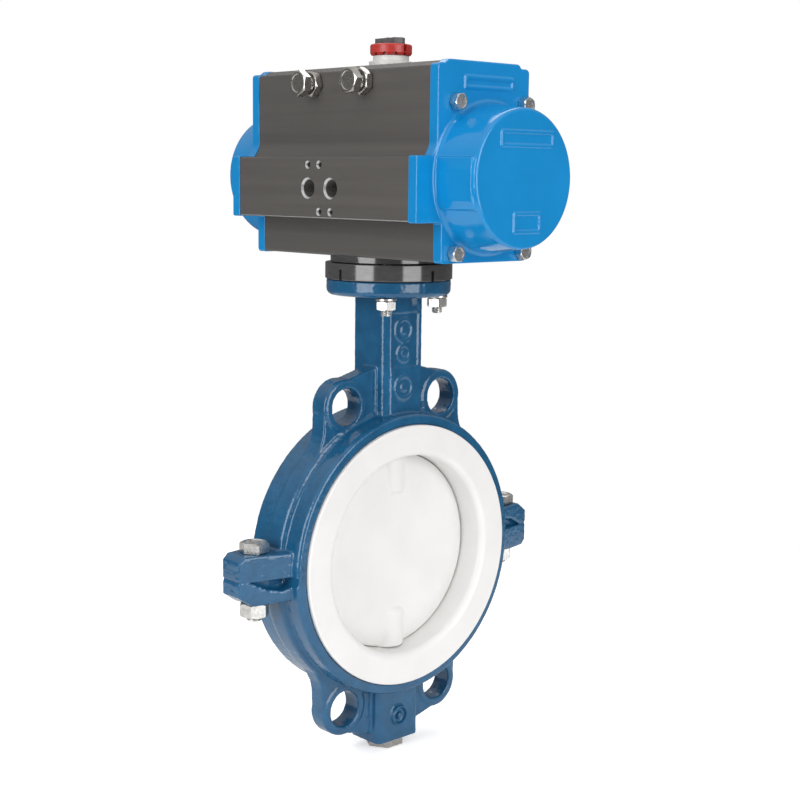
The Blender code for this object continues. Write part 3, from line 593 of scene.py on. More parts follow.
def thread(radius, pitch, low, high, steps=32):
    """A threaded rod along Z with chamfered ends: a grid whose radius follows the helix."""
    depth = pitch * 0.55
    rows = max(2, int((high - low) / (pitch / 4)))
    bm = bmesh.new()
    loops = []
    for row in range(rows + 1):
        z = low + (high - low) * row / rows
        loop = []
        for i in range(steps):
            phase = (z / pitch - i / steps) % 1.0
            crest = radius - depth * (1 - abs(2 * phase - 1))
            end = radius - depth * 1.3 + min(z - low, high - z)
            reach = min(crest, end)
            loop.append(bm.verts.new((reach * math.cos(math.tau * i / steps),
                                      reach * math.sin(math.tau * i / steps), z)))
        loops.append(loop)
    return skinned(bm, loops)


def hex_bolt(name, flats, head, shank_r, length, pitch, plain, dish=0.5, collar=0.0):
    """Head above Z = 0 and shank below it: plain at first, then threaded to its end."""
    obj = chamfered_hex(flats, collar, head, dish=dish)
    soften(obj, 0.12)
    obj.name = name
    if collar:
        boolean(obj, "UNION", rod(flats / 2 * 0.97, 0, collar + 0.2, edge=0.1))
    boolean(obj, "UNION", rod(shank_r, -plain - 0.5, 0.5, steps=32))
    if length > plain:
        boolean(obj, "UNION", thread(shank_r, pitch, -length, -plain))
    return obj


def hex_nut(name, flats, height, hole_r):
    """A nut from Z = 0 up, with a countersunk hole."""
    obj = chamfered_hex(flats, 0, height, both=True)
    soften(obj, 0.12)
    obj.name = name
    sink = 0.7
    profile = [(0, -1), (hole_r + sink + 1, -1), (hole_r, sink), (hole_r, height - sink),
               (hole_r + sink + 1, height + 1), (0, height + 1)]
    return boolean(obj, "DIFFERENCE", lathe(profile, steps=32))


def stud_places():
    """The four holes of the joint, of which three have a stud."""
    return [(x, y) for x in (-STUD_REACH, STUD_REACH) for y in (-STUD_REACH, STUD_REACH)]


def cap_bolts():
    """The eight screws of the end caps."""
    low, high = box_of("cap_bolt_right_1")
    start = PLATE_END + GAP
    head = high.x - start
    bolt = hex_bolt("cap_bolt", 10.0, head, 2.8, start - low.x, 1.0, 6.0)
    spots = []
    for side, end in ((1, "right"), (-1, "left")):
        for i in range(1, 5):
            node = f"cap_bolt_{end}_{i}"
            spot = middle_of(node)
            spots.append((f"cap_screw_{end}_{i}", node,
                          towards((side, 0, 0), (side * start, spot.y, spot.z), 17 + 23 * i)))
    place_copies(bolt, spots)


def clamp_fasteners():
    """The two bolts that pull the body halves together, and their nuts."""
    low, high = box_of("clamp_bolt_front")
    seat = EAR_HEIGHT + GAP
    bolt = hex_bolt("clamp_bolt", 18.0, high.z - seat, 5.9, seat - low.z, 1.75, 22.0)
    nut_low, nut_high = box_of("clamp_nut_front")
    nut = hex_nut("clamp_nut", 18.0, nut_high.z - nut_low.z, 6.2)
    bolts, nuts = [], []
    for side, name in ((-1, "front"), (1, "rear")):
        bolts.append((f"body_bolt_{name}", f"clamp_bolt_{name}",
                      towards((0, 0, 1), (0, side * CLAMP_Y, seat), 42)))
        nuts.append((f"body_nut_{name}", f"clamp_nut_{name}",
                     towards((0, 0, 1), (0, side * CLAMP_Y, nut_low.z), 10)))
    place_copies(bolt, bolts)
    place_copies(nut, nuts)


def flange_fasteners():
    """Studs, washers and nuts under the flange of the valve."""
    stud_low, stud_high = box_of("flange_stud_1")
    washer_low, washer_high = box_of("flange_washer_1")
    nut_low, nut_high = box_of("flange_nut_1")
    stud = new_object("flange_stud", thread(STUD_R, 1.25, stud_low.z, stud_high.z, 24))
    washer = new_object("flange_washer", tube(STUD_R + 0.4, 7.5, washer_low.z, washer_high.z, edge=0.3))
    nut = hex_nut("flange_nut", 13.0, nut_high.z - nut_low.z, STUD_R + 0.35)
    kinds = ((stud, "stud", 0), (washer, "washer", 0), (nut, "nut", nut_low.z))
    for obj, kind, height in kinds:
        spots = []
        for i in range(1, 4):
            node = f"flange_{kind}_{i}"
            spot = middle_of(node)
            matrix = towards((0, 0, 1), (spot.x, spot.y, height), 14 + 6 * i)
            spots.append((f"joint_{kind}_{i}", node, matrix))
        place_copies(obj, spots)


def stop_adjusters():
    """The two stroke screws at the front, each with its lock nut."""
    low, high = box_of("stop_screw_closed")
    nut_low, nut_high = box_of("stop_lock_nut_closed")
    head = 6.4
    seat = low.y + head
    for side, name, spin in ((1, "closed", 8), (-1, "open", 26)):
        x = side * abs(STOP_X)
        screw = hex_bolt("stop_screw", 16.0, head, 4.8, high.y - seat, 1.5, 1.0, collar=0.7)
        place_copies(screw, [(f"stroke_screw_{name}", f"stop_screw_{name}",
                              towards((0, -1, 0), (x, seat, STOP_Z), spin))])
        nut = hex_nut("stop_nut", 16.0, nut_high.y - nut_low.y, 5.0)
        place_copies(nut, [(f"stroke_nut_{name}", f"stop_lock_nut_{name}",
                            towards((0, -1, 0), (x, nut_high.y, STOP_Z), spin + 21))])


def plug():
    """The hexagonal plug under the lower stem bearing, its edges only just broken."""
    low, high = box_of("bottom_plug")
    head = BOSS_BOTTOM - GAP - low.z
    obj = new_object("boss_plug", prism(hexagon(PLUG_FLATS), 0, head))
    soften(obj, 0.45)
    tip = head - (high.z - low.z)
    boolean(obj, "UNION", rod(PLUG_SHANK_R, -2.5, 0.5, steps=32))
    boolean(obj, "UNION", thread(PLUG_SHANK_R, 1.5, tip, -2.0))
    place_copies(obj, [("stem_plug", "bottom_plug", towards((0, 0, -1), (0, 0, BOSS_BOTTOM - GAP)))])


# ---------------------------------------------------------------- actuator housing

def housing_outline(grow=0.0, corner=1.2):
    """Section of the housing in Y and Z, with rounded corners. The end caps' section is grown a little."""
    g = grow
    bulge = math.sqrt((REAR_BULGE + g) ** 2 - (REAR + g) ** 2)
    swing = math.degrees(math.atan2(bulge, REAR + g))
    front = [
        (PAD_REAR, PAD_TOP + g, 1.5), (PAD_FRONT, PAD_TOP + g, 3.0), (PAD_FRONT - 4, SHOULDER_TOP + g, 1.5),
        (UPPER_FRONT - g, SHOULDER_TOP + g, 2.0), (UPPER_FRONT - g, BAND_TOP + 7.7, 12.0),
        (UPPER_FRONT - 4.4 - g, BAND_TOP + g, 0.5), (BAND_FRONT - g, BAND_TOP + g, corner),
        (BAND_FRONT - g, BAND_BOTTOM - g, corner), (LOWER_FRONT - g, BAND_BOTTOM - g, 1.0),
        (LOWER_FRONT - g, BODY_BOTTOM - g, 2.2), (REAR + g, BODY_BOTTOM - g, 2.2),
    ]
    back = [(REAR + g, SHOULDER_TOP + g, 3.0), (PAD_REAR + 3, SHOULDER_TOP + g, 1.0)]
    bulged = [(y, z) for y, z in arc((0, BORE_Z), REAR_BULGE + g, -swing, swing, 24)]
    return rounded(front + bulged + back)


def drill(radius, depth, x, z, sink, pitch):
    """A countersunk hole from the front of the band, with ridges for its thread."""
    start = BAND_FRONT - 2
    profile = [(0, start), (radius + sink + 2, start), (radius, BAND_FRONT + sink)]
    for i in range(int((depth - sink) / pitch)):
        y = BAND_FRONT + sink + pitch * i
        profile += [(radius, y + pitch * 0.1), (radius + pitch * 0.4, y + pitch * 0.5),
                    (radius, y + pitch * 0.9)]
    profile += [(radius, BAND_FRONT + depth), (0, BAND_FRONT + depth + radius * 0.3)]
    return moved(lathe(profile, "Y", MID), x=x, z=z)


def port_chamfer(at, normal):
    """Whether a face lies on the machined mouth of a port or of a screw hole round it."""
    near = abs(at.x) < 20 and abs(at.z - PORT_Z) < 20
    return near and BAND_FRONT + 0.02 < at.y < BAND_FRONT + 1.4 and 0.5 < abs(normal.y) < 0.9


def housing_cuts():
    """The bore, the shaft's way through, the airways, the ports and the screw holes."""
    cut = [
        moved(rod(BORE_R, -110, 110, "X", steps=FINE), z=BORE_Z),
        rod(JOURNAL_HOLE_R, HOUSING_LOW.z - 5, BORE_Z),
        rod(CHAMBER_R, BORE_Z + 30, PAD_TOP - CHAMBER_ROOF, steps=FINE),
        rod(NECK_HOLE_R, PAD_TOP - 10, PAD_TOP + 5),
        moved(rod(AIRWAY_R, -100, 100, "X", steps=16), y=AIRWAY_Y, z=PORT_Z + 8),
        drill(PORT_R, 13.0, -PORT_X, PORT_Z, PORT_PITCH, PORT_PITCH),
        drill(PORT_R, 15.0, PORT_X, PORT_Z, PORT_PITCH, PORT_PITCH),
        moved(rod(AIRWAY_R, -59, -35, "Y", steps=24), x=-PORT_X + 2.4, z=PORT_Z),
    ]
    for x, way in ((-PORT_X, 1), (0, 1), (0, -1), (PORT_X, -1)):
        cut.append(drill(PORT_SCREW_R, 8.0, x, PORT_Z + way * PORT_SCREW_REACH, 0.8, 0.8))
    for x in (-STOP_X, STOP_X):
        cut.append(moved(rod(STOP_HOLE_R, UPPER_FRONT - 5, -10, "Y", steps=32), x=x, z=STOP_Z))
    for x, y in stud_places():
        cut.append(rod(STUD_R + 0.3, HOUSING_LOW.z - 5, STUD_HOLE_TOP, centre=(x, y, 0), steps=24))
    for side, end in ((1, "right"), (-1, "left")):
        for i in range(1, 5):
            spot = middle_of(f"cap_bolt_{end}_{i}")
            low, high = sorted((side * 76, side * 95))
            cut.append(moved(rod(CAP_TAPPED_R, low, high, "X", steps=16), y=spot.y, z=spot.z))
    return cut


def housing():
    """The extruded and machined body of the actuator."""
    base = prism(housing_outline(), -HALF_LENGTH, HALF_LENGTH, "X")
    obj = new_object("actuator_housing", base)
    soften(obj, 0.25, 60)
    boolean(obj, "UNION", rod(BOSS_R, HOUSING_LOW.z, BODY_BOTTOM + 5, steps=FINE, edge=0.6))
    clean(cut_away(obj, housing_cuts()))
    bare_where(obj, port_chamfer, finishes["aluminium"])
    bare_where(obj, lambda at, normal: at.z < BODY_BOTTOM - 0.2, finishes["black_oxide"])
    place(obj, "actuator_body", sharp=40)


def mesh_of(obj):
    """Takes the shape out of an object that is no longer needed."""
    bm = bmesh.new()
    bm.from_mesh(obj.data)
    bpy.data.objects.remove(obj)
    return bm


def plaque(y_low, y_high, z_low, z_high, x):
    """A blank raised frame, where a maker would put a name: its outside, and what is sunk in it."""
    frames = []
    for inset, low, high in ((0, x - 2, x + PLAQUE_RISE), (PLAQUE_EDGE, x - 0.1, x + 4)):
        a, b, c, d = y_low + inset, y_high - inset, z_low + inset, z_high - inset
        frames.append(prism(rounded([(a, c, 1), (b, c, 1), (b, d, 1), (a, d, 1)]), low, high, "X"))
    return frames


def dome_shoulder(low, high):
    """Squares off the upper front of the dome, and narrows with it."""
    front = -DOME_R - 1.3
    outline = [
        (-20, BORE_Z - 20), (front + 3.5, BORE_Z - 20), (front + 1.2, BORE_Z - 14), (front, BORE_Z - 4),
        (front, BORE_Z + 5.5), (front + 1.2, BAND_TOP), (-20, BAND_TOP),
    ]
    shape = prism(outline, low, high, "X")
    for vert in shape.verts:
        if vert.co.x > low + 1 and vert.co.y < -21:
            vert.co.y += DOME_R - DOME_RIM_R
    return shape


def cap_casting(end, side):
    """A cap as cast: a plate and the dome over the springs. The right-hand dome has a shoulder."""
    dome = rounded([
        (0, PLATE_END - 4), (DOME_R + 0.6, PLATE_END - 4), (DOME_R + 0.4, PLATE_END, 0),
        (DOME_RIM_R, DOME_END, 2.2), (0, DOME_END),
    ], closed=False, steps=6)
    fillet = lathe([
        (0, PLATE_END - 1), (DOME_R + 2.2, PLATE_END - 1), (DOME_R + 2.2, PLATE_END + 0.2),
        (DOME_R + 0.9, PLATE_END + 0.9), (DOME_R + 0.2, PLATE_END + 2.4), (0, PLATE_END + 2.4),
    ], "X")
    joined = [moved(lathe(dome, "X"), z=BORE_Z), moved(fillet, z=BORE_Z)]
    if side > 0:
        joined.append(dome_shoulder(PLATE_END - 3, DOME_END - 2.6))
    base = prism(housing_outline(CAP_GROW, 0.9), CAP_LOW.x, PLATE_END, "X")
    obj = built(f"cap_{end}", base, joined)
    for outer, inner in (plaque(-24, 22, SHOULDER_TOP - 14.6, SHOULDER_TOP - 6.4, PLATE_END),
                         plaque(-23, 27, BORE_Z + 20.5, BORE_Z + 31, DOME_END),
                         plaque(-10, 16, BORE_Z - 35, BORE_Z - 21.5, DOME_END)):
        raised = boolean(new_object("plaque", outer), "DIFFERENCE", inner)
        boolean(obj, "UNION", mesh_of(raised))
    return cast(obj, 0.6, 3)


def end_cap(end, side):
    """A cap with its hollow, its seal groove and its screw holes. The left-hand one is mirrored."""
    obj = cap_casting(end, side)
    inside = [(0, 80), (BORE_R, 80), (BORE_R, 118), (BORE_R - 3, CAP_HOLLOW_END), (0, CAP_HOLLOW_END)]
    cut = [block((60, -90, 150), (CAP_LOW.x, 90, 400)), moved(lathe(inside, "X"), z=BORE_Z)]
    groove = tube(SEAL_GROOVE_R, SEAL_GROOVE_OUTER_R, HALF_LENGTH - 5, HALF_LENGTH + 2.2, "X", FINE)
    cut.append(moved(groove, z=BORE_Z))
    for i in range(1, 5):
        spot = middle_of(f"cap_bolt_right_{i}")
        cut.append(moved(rod(CAP_HOLE_R, 80, 110, "X", steps=24), y=spot.y, z=spot.z))
        cut.append(moved(rod(CAP_FACE_R, PLATE_END, PLATE_END + 12, "X"), y=spot.y, z=spot.z))
    cut_away(obj, cut)
    if side < 0:
        bm = bmesh.new()
        bm.from_mesh(obj.data)
        flipped(bm, "X").to_mesh(obj.data)
        bm.free()
    place(obj, f"end_cap_{end}", sharp=45, weighted=False)


# ---------------------------------------------------------------- joint between valve and actuator

def joint_ring():
    """The ring between the flange and the housing, with four slots in its lower rim."""
    low, high = box_of("mounting_ring")
    obj = new_object("locating_ring", tube(18.0, high.x, low.z, high.z, steps=FINE, edge=0.7))
    for x, y in ((1, 0), (-1, 0), (0, 1), (0, -1)):
        centre = Vector((x, y)) * high.x
        reach = Vector((abs(x) * 4 + abs(y) * 1.3, abs(y) * 4 + abs(x) * 1.3))
        notch = block((*(centre - reach), low.z - 1), (*(centre + reach), low.z + 7.5))
        boolean(obj, "DIFFERENCE", notch)
    for x, y in stud_places():
        boolean(obj, "DIFFERENCE", rod(STUD_R + 0.4, low.z - 5, high.z + 5, centre=(x, y, 0), steps=24))
    place(clean(obj), "mounting_ring")


# ---------------------------------------------------------------- valve

def neck_outline():
    """A square with two broad chamfers and two small ones."""
    half, broad, small = NECK_HALF, NECK_HALF - NECK_CHAMFER, NECK_HALF - 1.0
    return rounded([(half, -broad, 4), (half, small), (small, half), (-broad, half),
                    (-half, broad), (-half, -small), (-small, -half), (broad, -half, 4)])


def boss_outline():
    """The lower column, before it is turned over."""
    x, y, chamfer = BOSS_HALF_X, BOSS_HALF_Y, BOSS_CHAMFER
    return rounded([(-x, -y), (x, -y), (x, y - chamfer, 3), (x - chamfer, y, 3), (-x, y)])


def lug_outline():
    """The plate of two pipe-bolt lugs and the web between them, which narrows to meet the ring."""
    y = LUG_PITCH_R * math.sin(LUG_ANGLE)
    z = LUG_PITCH_R * math.cos(LUG_ANGLE)
    top = NECK_HALF, z + LUG_R + 6.5
    foot = [(73, 70), (73, 78), (70.5, 82.5), (68, 87), (66.4, 92), (66, 97)]
    return mirrored(foot + arc((y, z), LUG_R, -12, 100, 18) + [top, (0, top[1])])


def ear_outline(chamfer):
    """One clamp ear seen along the pipe."""
    return [
        (94, -1), (EAR_END - 1.5, -1), (EAR_END, 1), (EAR_END, EAR_HEIGHT - chamfer * 0.8),
        (EAR_END - chamfer * 1.2, EAR_HEIGHT), (94, EAR_HEIGHT - 1),
    ]


def ear_pocket(side):
    """The hollow under the second ear, on one side of its web."""
    outline = rounded([
        (RIM_R, -8), (EAR_END - 8, -8), (EAR_END - 8, 0), (EAR_END - 20, 6.5, 8),
        (CROWN_R + 2, 9, 3), (RIM_R, 7, 3),
    ])
    low, high = sorted((side * EAR_WEB_HALF, side * 30))
    return prism(outline, low, high, "X")


def flared(ear):
    """Widens a clamp ear along X, from its end towards the ring."""
    for vert in ear.verts:
        vert.co.x *= EAR_HALF + EAR_FLARE * (EAR_END - abs(vert.co.y))
    return ear


def foundry_ring(radius, x, z):
    """A plain raised ring with a dot in it, as founders cast on a body."""
    ring_shape = moved(tube(radius - 1.4, radius, x - 1, x + 0.9, "X"), z=z)
    dot = moved(rod(radius * 0.36, x - 1, x + 0.8, "X", steps=6), z=z)
    return [ring_shape, dot]


def half_casting(name, column, column_top, flange):
    """The upper half of the body as cast, before machining. The lug holes are cast in."""
    profile = [
        (60, -BODY_FACE), (RIM_R + 2, -BODY_FACE), (RIM_R + 4, 1.8 - BODY_FACE),
        (RIM_R + 4.2, LUG_REAR - 2), (CROWN_R, LUG_REAR), (CROWN_R, CROWN_X - 2.5),
        (CROWN_R - 1, CROWN_X - 0.5), (RIM_R + 1.4, CROWN_X + 0.5), (RIM_R + 1.4, BODY_FACE - 2),
        (RIM_R, BODY_FACE), (60, BODY_FACE),
    ]
    joined = [prism(lug_outline(), LUG_REAR, LUG_FRONT, "X"), prism(column, 80, column_top)]
    y = LUG_PITCH_R * math.sin(LUG_ANGLE)
    z = LUG_PITCH_R * math.cos(LUG_ANGLE)
    for side, ear in ((-1, ear_outline(4.0)), (1, ear_outline(9.0))):
        joined.append(flared(prism([(side * a, b) for a, b in ear], -1, 1, "X")))
        boss = rod(LUG_R - 1.5, LUG_REAR - 1.0, LUG_FRONT + 1.0, "X", edge=0.9)
        joined.append(moved(boss, y=side * y, z=z))
    if flange:
        rounding = [(0, FLANGE_BOTTOM), (NECK_HALF + 6, FLANGE_BOTTOM), (FLANGE_R, FLANGE_BOTTOM, 4),
                    (FLANGE_R, FLANGE_TOP, 0), (0, FLANGE_TOP)]
        joined.append(lathe(rounded(rounding, closed=False)))
    holes = [moved(rod(LUG_HOLE_R, -20, 20, "X"), y=side * y, z=z) for side in (-1, 1)]
    below = block((-60, -180, -250), (60, 180, -6))
    return built(name, lathe(profile, "X"), joined, [below, *holes, ear_pocket(1), ear_pocket(-1)])


def machining(column_top):
    """What is cut from a half casting: the seat's bore, the split, the holes."""
    shoulder = SEAT_TUBE_R + GAP
    land = LINER_HIGH.x - LINER_FLANGE - GAP
    channel = BACKING_HALF + GAP
    profile = [
        (0, -40), (LINER_R + 1, -40), (LINER_R + 1, -land), (shoulder, -land), (shoulder, -channel),
        (BACKING_R, -channel), (BACKING_R, channel), (shoulder, channel), (shoulder, land),
        (LINER_R + 1, land), (LINER_R + 1, 40), (0, 40),
    ]
    cut = [lathe(profile, "X"), block((-60, -180, -250), (60, 180, SPLIT_HALF_GAP)),
           block((-60, -180, -20), (-BODY_FACE, 180, 130)), block((BODY_FACE, -180, -20), (60, 180, 130))]
    for side in (-1, 1):
        cut.append(rod(CLAMP_HOLE_R, -5, 30, centre=(0, side * CLAMP_Y, 0), steps=32))
        cut.append(rod(CLAMP_FACE_R, EAR_HEIGHT - 0.2, EAR_HEIGHT + 8, centre=(0, side * CLAMP_Y, 0)))
    cut.append(rod(BUSH_R + GAP, 60, column_top + 30))
    return cut


def upper_casting():
    """The half with the neck and its flange, and a sunk panel on the neck."""
    obj = half_casting("valve_casting_upper", neck_outline(), FLANGE_BOTTOM + 2, True)
    panel = block((NECK_HALF - PANEL_DEPTH, -12, 136.5), (NECK_HALF + 5, 13.8, 176.5))
    boolean(obj, "DIFFERENCE", panel)
    for radius, depth, height in ((8.6, PANEL_DEPTH, 163.7), (6.4, PANEL_DEPTH, 147.0), (8.8, 0.0, 122.5)):
        for bm in foundry_ring(radius, NECK_HALF - depth, height):
            boolean(obj, "UNION", bm)
    cast(obj, 0.85, 5, LUMP_HEIGHT)
    cut = machining(FLANGE_BOTTOM)
    cut.append(block((-60, -60, FLANGE_TOP), (60, 60, FLANGE_TOP + 20)))
    cut.append(rod(PACKING_R, PACKING_FLOOR, FLANGE_TOP + 5))
    for x, y in stud_places():
        cut.append(rod(STUD_R + 0.4, 180, 205, centre=(x, y, 0), steps=24))
        cut.append(rod(SPOT_FACE_R, FLANGE_BOTTOM - 9, FLANGE_BOTTOM, centre=(x, y, 0), steps=32))
    place(cut_away(obj, cut), "valve_body_upper", sharp=45, weighted=False)


def lower_casting():
    """The same casting turned half a turn about the pipe, with a boss for its column."""
    obj = half_casting("valve_casting_lower", boss_outline(), -BOSS_BOTTOM, False)
    for bm in foundry_ring(7.5, NECK_HALF, 124.5):
        boolean(obj, "UNION", bm)
    cast(obj, 0.85, 5, LUMP_HEIGHT)
    cut = machining(-BOSS_BOTTOM)
    cut.append(block((-60, -60, -BOSS_BOTTOM), (60, 60, 20 - BOSS_BOTTOM)))
    cut_away(obj, cut).data.transform(Matrix.Rotation(math.pi, 4, "X"))
    place(obj, "valve_body_lower", sharp=45, weighted=False)


def liner():
    """The moulded seat: a tube with a sealing flange at each end, well rounded into the bore."""
    face = LINER_HIGH.x
    back = face - LINER_FLANGE
    profile = rounded([
        (SEAT_BORE_R, -face, 5.0), (LINER_R, -face, 0.8), (LINER_R, -back, 0.3), (SEAT_TUBE_R, -back, 0.6),
        (SEAT_TUBE_R, back, 0.6), (LINER_R, back, 0.3), (LINER_R, face, 0.8), (SEAT_BORE_R, face, 5.0),
    ], steps=8)
    obj = new_object("seat", lathe(profile, "X", 144))
    boolean(obj, "DIFFERENCE", rod(STEM_R + 0.5, -90, 90))
    place(obj, "seat_liner", sharp=50)


def disc():
    """The coated disc: a shallow lens, with a hub where the stem enters its rim."""
    low, high = box_of("valve_disc")
    half = [(DISC_R, 6.0, 1.8), (62, 10.2, 60), (0, DISC_CROWN)]
    back = [(r, -x, *edge) for r, x, *edge in reversed(half)]
    profile = rounded(back + half, closed=False, steps=10)
    hubs = []
    for end in (-1, 1):
        outline = [(0, 40), (high.x * 0.62, 40), (high.x - 0.2, 45), (high.x - 0.2, 76), (0, 76)]
        hub = lathe(rounded([(r, z, 4) if 0 < z < 76 and r else (r, z) for r, z in outline], closed=False))
        hubs.append(hub if end > 0 else flipped(hub, "Z"))
    obj = cast(built("disc", lathe(profile, "X", 144), hubs), 0.8, 4)
    for end in (-1, 1):
        past = block((-30, -30, 0), (30, 30, 20))
        boolean(obj, "DIFFERENCE", moved(past, z=high.z if end > 0 else low.z - 20))
    boolean(obj, "DIFFERENCE", rod(STEM_R + 0.5, -90, 90))
    place(obj, "valve_disc", sharp=50, weighted=False)


# ---------------------------------------------------------------- position indicator

def dial_base():
    low, high = box_of("indicator_base")
    base = rounded([
        (9.3, 351.3), (14.0, 351.3), (14.0, low.z), (high.x, low.z, 0.4), (high.x, low.z + 3.2, 0.6),
        (high.x - 2.8, low.z + 3.6, 0.4), (high.x - 2.8, high.z, 0.4), (9.3, high.z),
    ], steps=3)
    place(new_object("dial_base", lathe(base)), "indicator_base")


def dial_cap():
    """A flat cap with twelve notches round its foot and two slots in its rim."""
    low, high = box_of("indicator_cap")
    radius = high.x
    body = rounded([
        (3.4, low.z), (radius - 1.0, low.z, 0.5), (radius, low.z + 1.6, 0.4), (radius, high.z, 1.4),
        (3.4, high.z),
    ], steps=4)
    obj = new_object("dial_cap", lathe(body))
    for turn in range(12):
        notch = moved(rod(1.9, -9, 9, "X", steps=16), x=radius - 3 + 9, z=low.z)
        notch.transform(Matrix.Rotation(math.tau * turn / 12, 4, "Z"))
        boolean(obj, "DIFFERENCE", notch)
    for side in (-1, 1):
        slot_low, slot_high = sorted((side * (radius - 3.5), side * (radius + 2)))
        boolean(obj, "DIFFERENCE", block((slot_low, -1.2, high.z - 5.4), (slot_high, 1.2, high.z + 2)))
    soften(clean(obj), 0.15, 40)
    place(obj, "indicator_cap")


def dial_pointer():
    """An arrow along X, sunk in the middle for its screw."""
    low, high = box_of("indicator_pointer")
    tip = high.x - 3
    arrow = rounded([(low.x, -5, 0.8), (tip, -5, 0.8), (high.x, 0, 0.8), (tip, 5, 0.8), (low.x, 5, 0.8)])
    obj = new_object("dial_pointer", prism(arrow, low.z, high.z))
    soften(obj, 0.25, 50)
    boolean(obj, "DIFFERENCE", rod(3.4, low.z - 2, high.z + 2, steps=32))
    boolean(obj, "DIFFERENCE", rod(4.3, high.z - 1.4, high.z + 2, steps=32))
    place(obj, "indicator_pointer")


def dial_screw():
    low, high = box_of("indicator_screw")
    head = 1.6
    obj = hex_bolt("dial_screw", 7.0, head, 2.9, high.z - head - low.z, 1.0, 2.0, dish=0.3)
    place_copies(obj, [("dial_screw", "indicator_screw", towards((0, 0, 1), (0, 0, high.z - head), 10))])


# ---------------------------------------------------------------- inside

def spring(end, side):
    """A return spring with closed ends, built at one length."""
    low, high = box_of(f"return_spring_{end}")
    near, far = (low.x, high.x) if side > 0 else (-high.x, -low.x)
    wire = SPRING_WIRE_R
    coil = high.y - wire
    turns, per_turn, sides = 6, 32, 10
    bm = bmesh.new()
    loops = []
    count = turns * per_turn
    for i in range(count + 1):
        share = i / count
        lift = min(max((share * turns - 1) / (turns - 2), 0), 1)
        x = near + wire + (far - near - 2 * wire) * lift
        angle = math.tau * i / per_turn
        outward = Vector((0, math.cos(angle), math.sin(angle)))
        centre = Vector((side * x, 0, BORE_Z)) + outward * coil
        loop = []
        for k in range(sides):
            a = math.tau * k / sides
            spoke = outward * wire * math.cos(a) + Vector((wire * math.sin(a), 0, 0))
            loop.append(bm.verts.new(centre + spoke))
        loops.append(loop)
    obj = new_object(f"spring_{end}", skinned(bm, loops))
    place(obj, f"return_spring_{end}", sharp=60, weighted=False)
    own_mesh(obj)


def carried_over():
    """CAD nodes that stay, with their finishes."""
    for node, obj in frame["nodes"].items():
        if not obj.hide_render:
            obj.data.materials.clear()
            obj.data.materials.append(finishes[SLOT_OF[node]])


# ---------------------------------------------------------------- studio

def camera():
    """At the photograph's angle: a long lens, a little above the valve, with a slight roll."""
    yaw, pitch, roll = math.radians(47.32), math.radians(8.55), math.radians(0.67)
    forward = Vector((-math.sin(yaw) * math.cos(pitch), math.cos(yaw) * math.cos(pitch), -math.sin(pitch)))
    level = Vector((math.cos(yaw), math.sin(yaw), 0))
    above = level.cross(forward)
    right = level * math.cos(roll) + above * math.sin(roll)
    up = above * math.cos(roll) - level * math.sin(roll)
    data = bpy.data.cameras.new("camera")
    data.sensor_width = 36.0
    data.lens = 66.41
    obj = bpy.data.objects.new("camera", data)
    obj.matrix_world = Matrix.Translation((0.78898, -0.71510, 0.27118)) @ Matrix(
        (right, up, -forward)).transposed().to_4x4()
    bpy.context.scene.collection.objects.link(obj)
    bpy.context.scene.camera = obj


HORIZON = 0.14
ZENITH = 0.9
FLOOR_LIFT = 0.45
FLOOR_R = 0.75
VIEW_AZIMUTH = 47
SIDE_SWING = 43
LIT_HEIGHT = 0.12


def softbox(name, azimuth, elevation, distance, width, height, power):
    """An area light on a sphere round the object, turned to it. Azimuth 0 is at -Y, 90 at +X."""
    a, e = math.radians(azimuth), math.radians(elevation)
    back = Vector((math.sin(a) * math.cos(e), -math.cos(a) * math.cos(e), math.sin(e)))
    data = bpy.data.lights.new(name, "AREA")
    data.shape = "RECTANGLE"
    data.size = width
    data.size_y = height
    data.energy = power
    obj = bpy.data.objects.new(name, data)
    obj.location = Vector((0, 0, LIT_HEIGHT)) + back * distance
    obj.rotation_mode = "QUATERNION"
    obj.rotation_quaternion = (-back).to_track_quat("-Z", "Y")
    bpy.context.scene.collection.objects.link(obj)


def lift_floor(tree):
    """Lifts what the camera sees of the floor to the white of the backdrop."""
    paths = tree.nodes.new("ShaderNodeLightPath")
    shader = tree.nodes["Principled BSDF"]
    shader.inputs["Emission Color"].default_value = (1, 1, 1, 1)
    lift = ramp(tree, paths.outputs["Is Camera Ray"], 0, FLOOR_LIFT)
    tree.links.new(lift, shader.inputs["Emission Strength"])


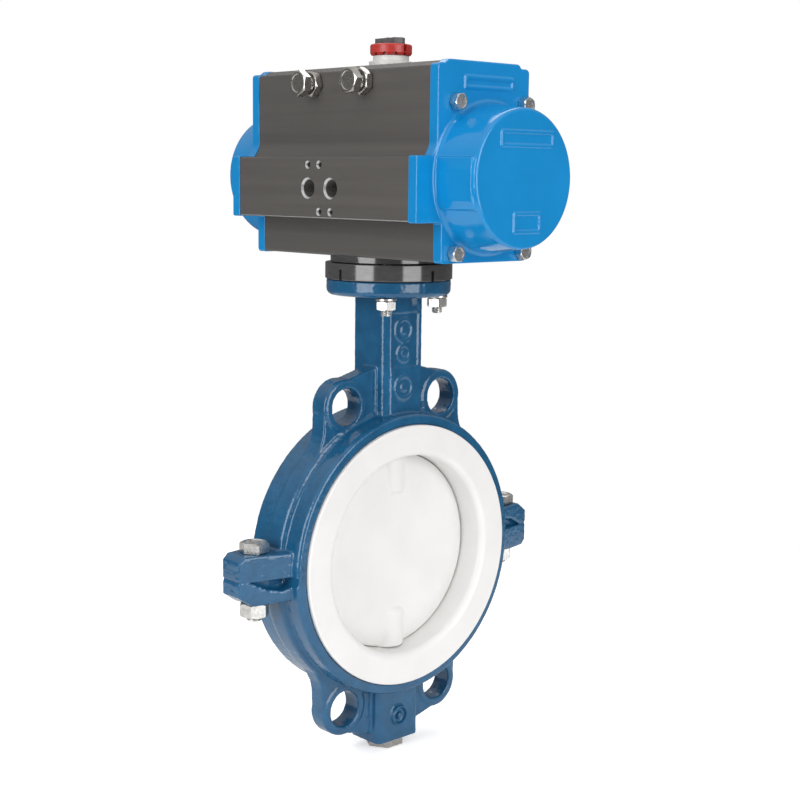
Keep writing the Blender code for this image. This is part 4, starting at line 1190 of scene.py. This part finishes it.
def pale_floor():
    floor_bm = bmesh.new()
    bmesh.ops.create_circle(floor_bm, cap_ends=True, segments=FINE, radius=FLOOR_R)
    floor = new_object("floor", floor_bm)
    floor.location.z = cad_box[0].z - 0.0005
    floor.data.materials.append(surface("pale_floor", (0.88, 0.88, 0.88), (0.90, 0.90, 0.90), (0.75, 0.85),
                                        tone=(3, EVEN), grain=(60, EVEN), strength=0.02))
    lift_floor(floor.data.materials[0].node_tree)


def sky():
    """A white backdrop for the camera, and a sky that brightens upwards for everything else."""
    world = bpy.data.worlds.new("studio")
    bpy.context.scene.world = world
    world.use_nodes = True
    tree = world.node_tree
    lit = tree.nodes["Background"]
    where = tree.nodes.new("ShaderNodeTexCoord")
    split = tree.nodes.new("ShaderNodeSeparateXYZ")
    tree.links.new(where.outputs["Generated"], split.inputs["Vector"])
    tree.links.new(ramp(tree, split.outputs["Z"], HORIZON, ZENITH, 0.15, 0.9), lit.inputs["Strength"])
    lit.inputs["Color"].default_value = (1.0, 0.99, 0.98, 1)
    shown = tree.nodes.new("ShaderNodeBackground")
    paths = tree.nodes.new("ShaderNodeLightPath")
    choose = tree.nodes.new("ShaderNodeMixShader")
    tree.links.new(paths.outputs["Is Camera Ray"], choose.inputs["Fac"])
    tree.links.new(lit.outputs["Background"], choose.inputs[1])
    tree.links.new(shown.outputs["Background"], choose.inputs[2])
    tree.links.new(choose.outputs["Shader"], tree.nodes["World Output"].inputs["Surface"])
    shown.inputs["Color"].default_value = (1, 1, 1, 1)


def studio():
    pale_floor()
    sky()
    softbox("softbox_left", VIEW_AZIMUTH - SIDE_SWING, 10, 1.7, 1.05, 1.4, 19)
    softbox("softbox_right", VIEW_AZIMUTH + SIDE_SWING, 10, 1.7, 1.05, 1.4, 17.5)
    softbox("softbox_back", VIEW_AZIMUTH + 180, 55, 1.9, 1.2, 0.8, 7)
    bpy.context.scene.view_settings.view_transform = "Standard"


def build():
    housing()
    end_cap("right", 1)
    end_cap("left", -1)
    cap_bolts()
    stop_adjusters()
    dial_base()
    dial_cap()
    dial_pointer()
    dial_screw()
    joint_ring()
    flange_fasteners()
    upper_casting()
    lower_casting()
    clamp_fasteners()
    plug()
    liner()
    disc()
    spring("right", 1)
    spring("left", -1)
    carried_over()
    camera()
    studio()


build()
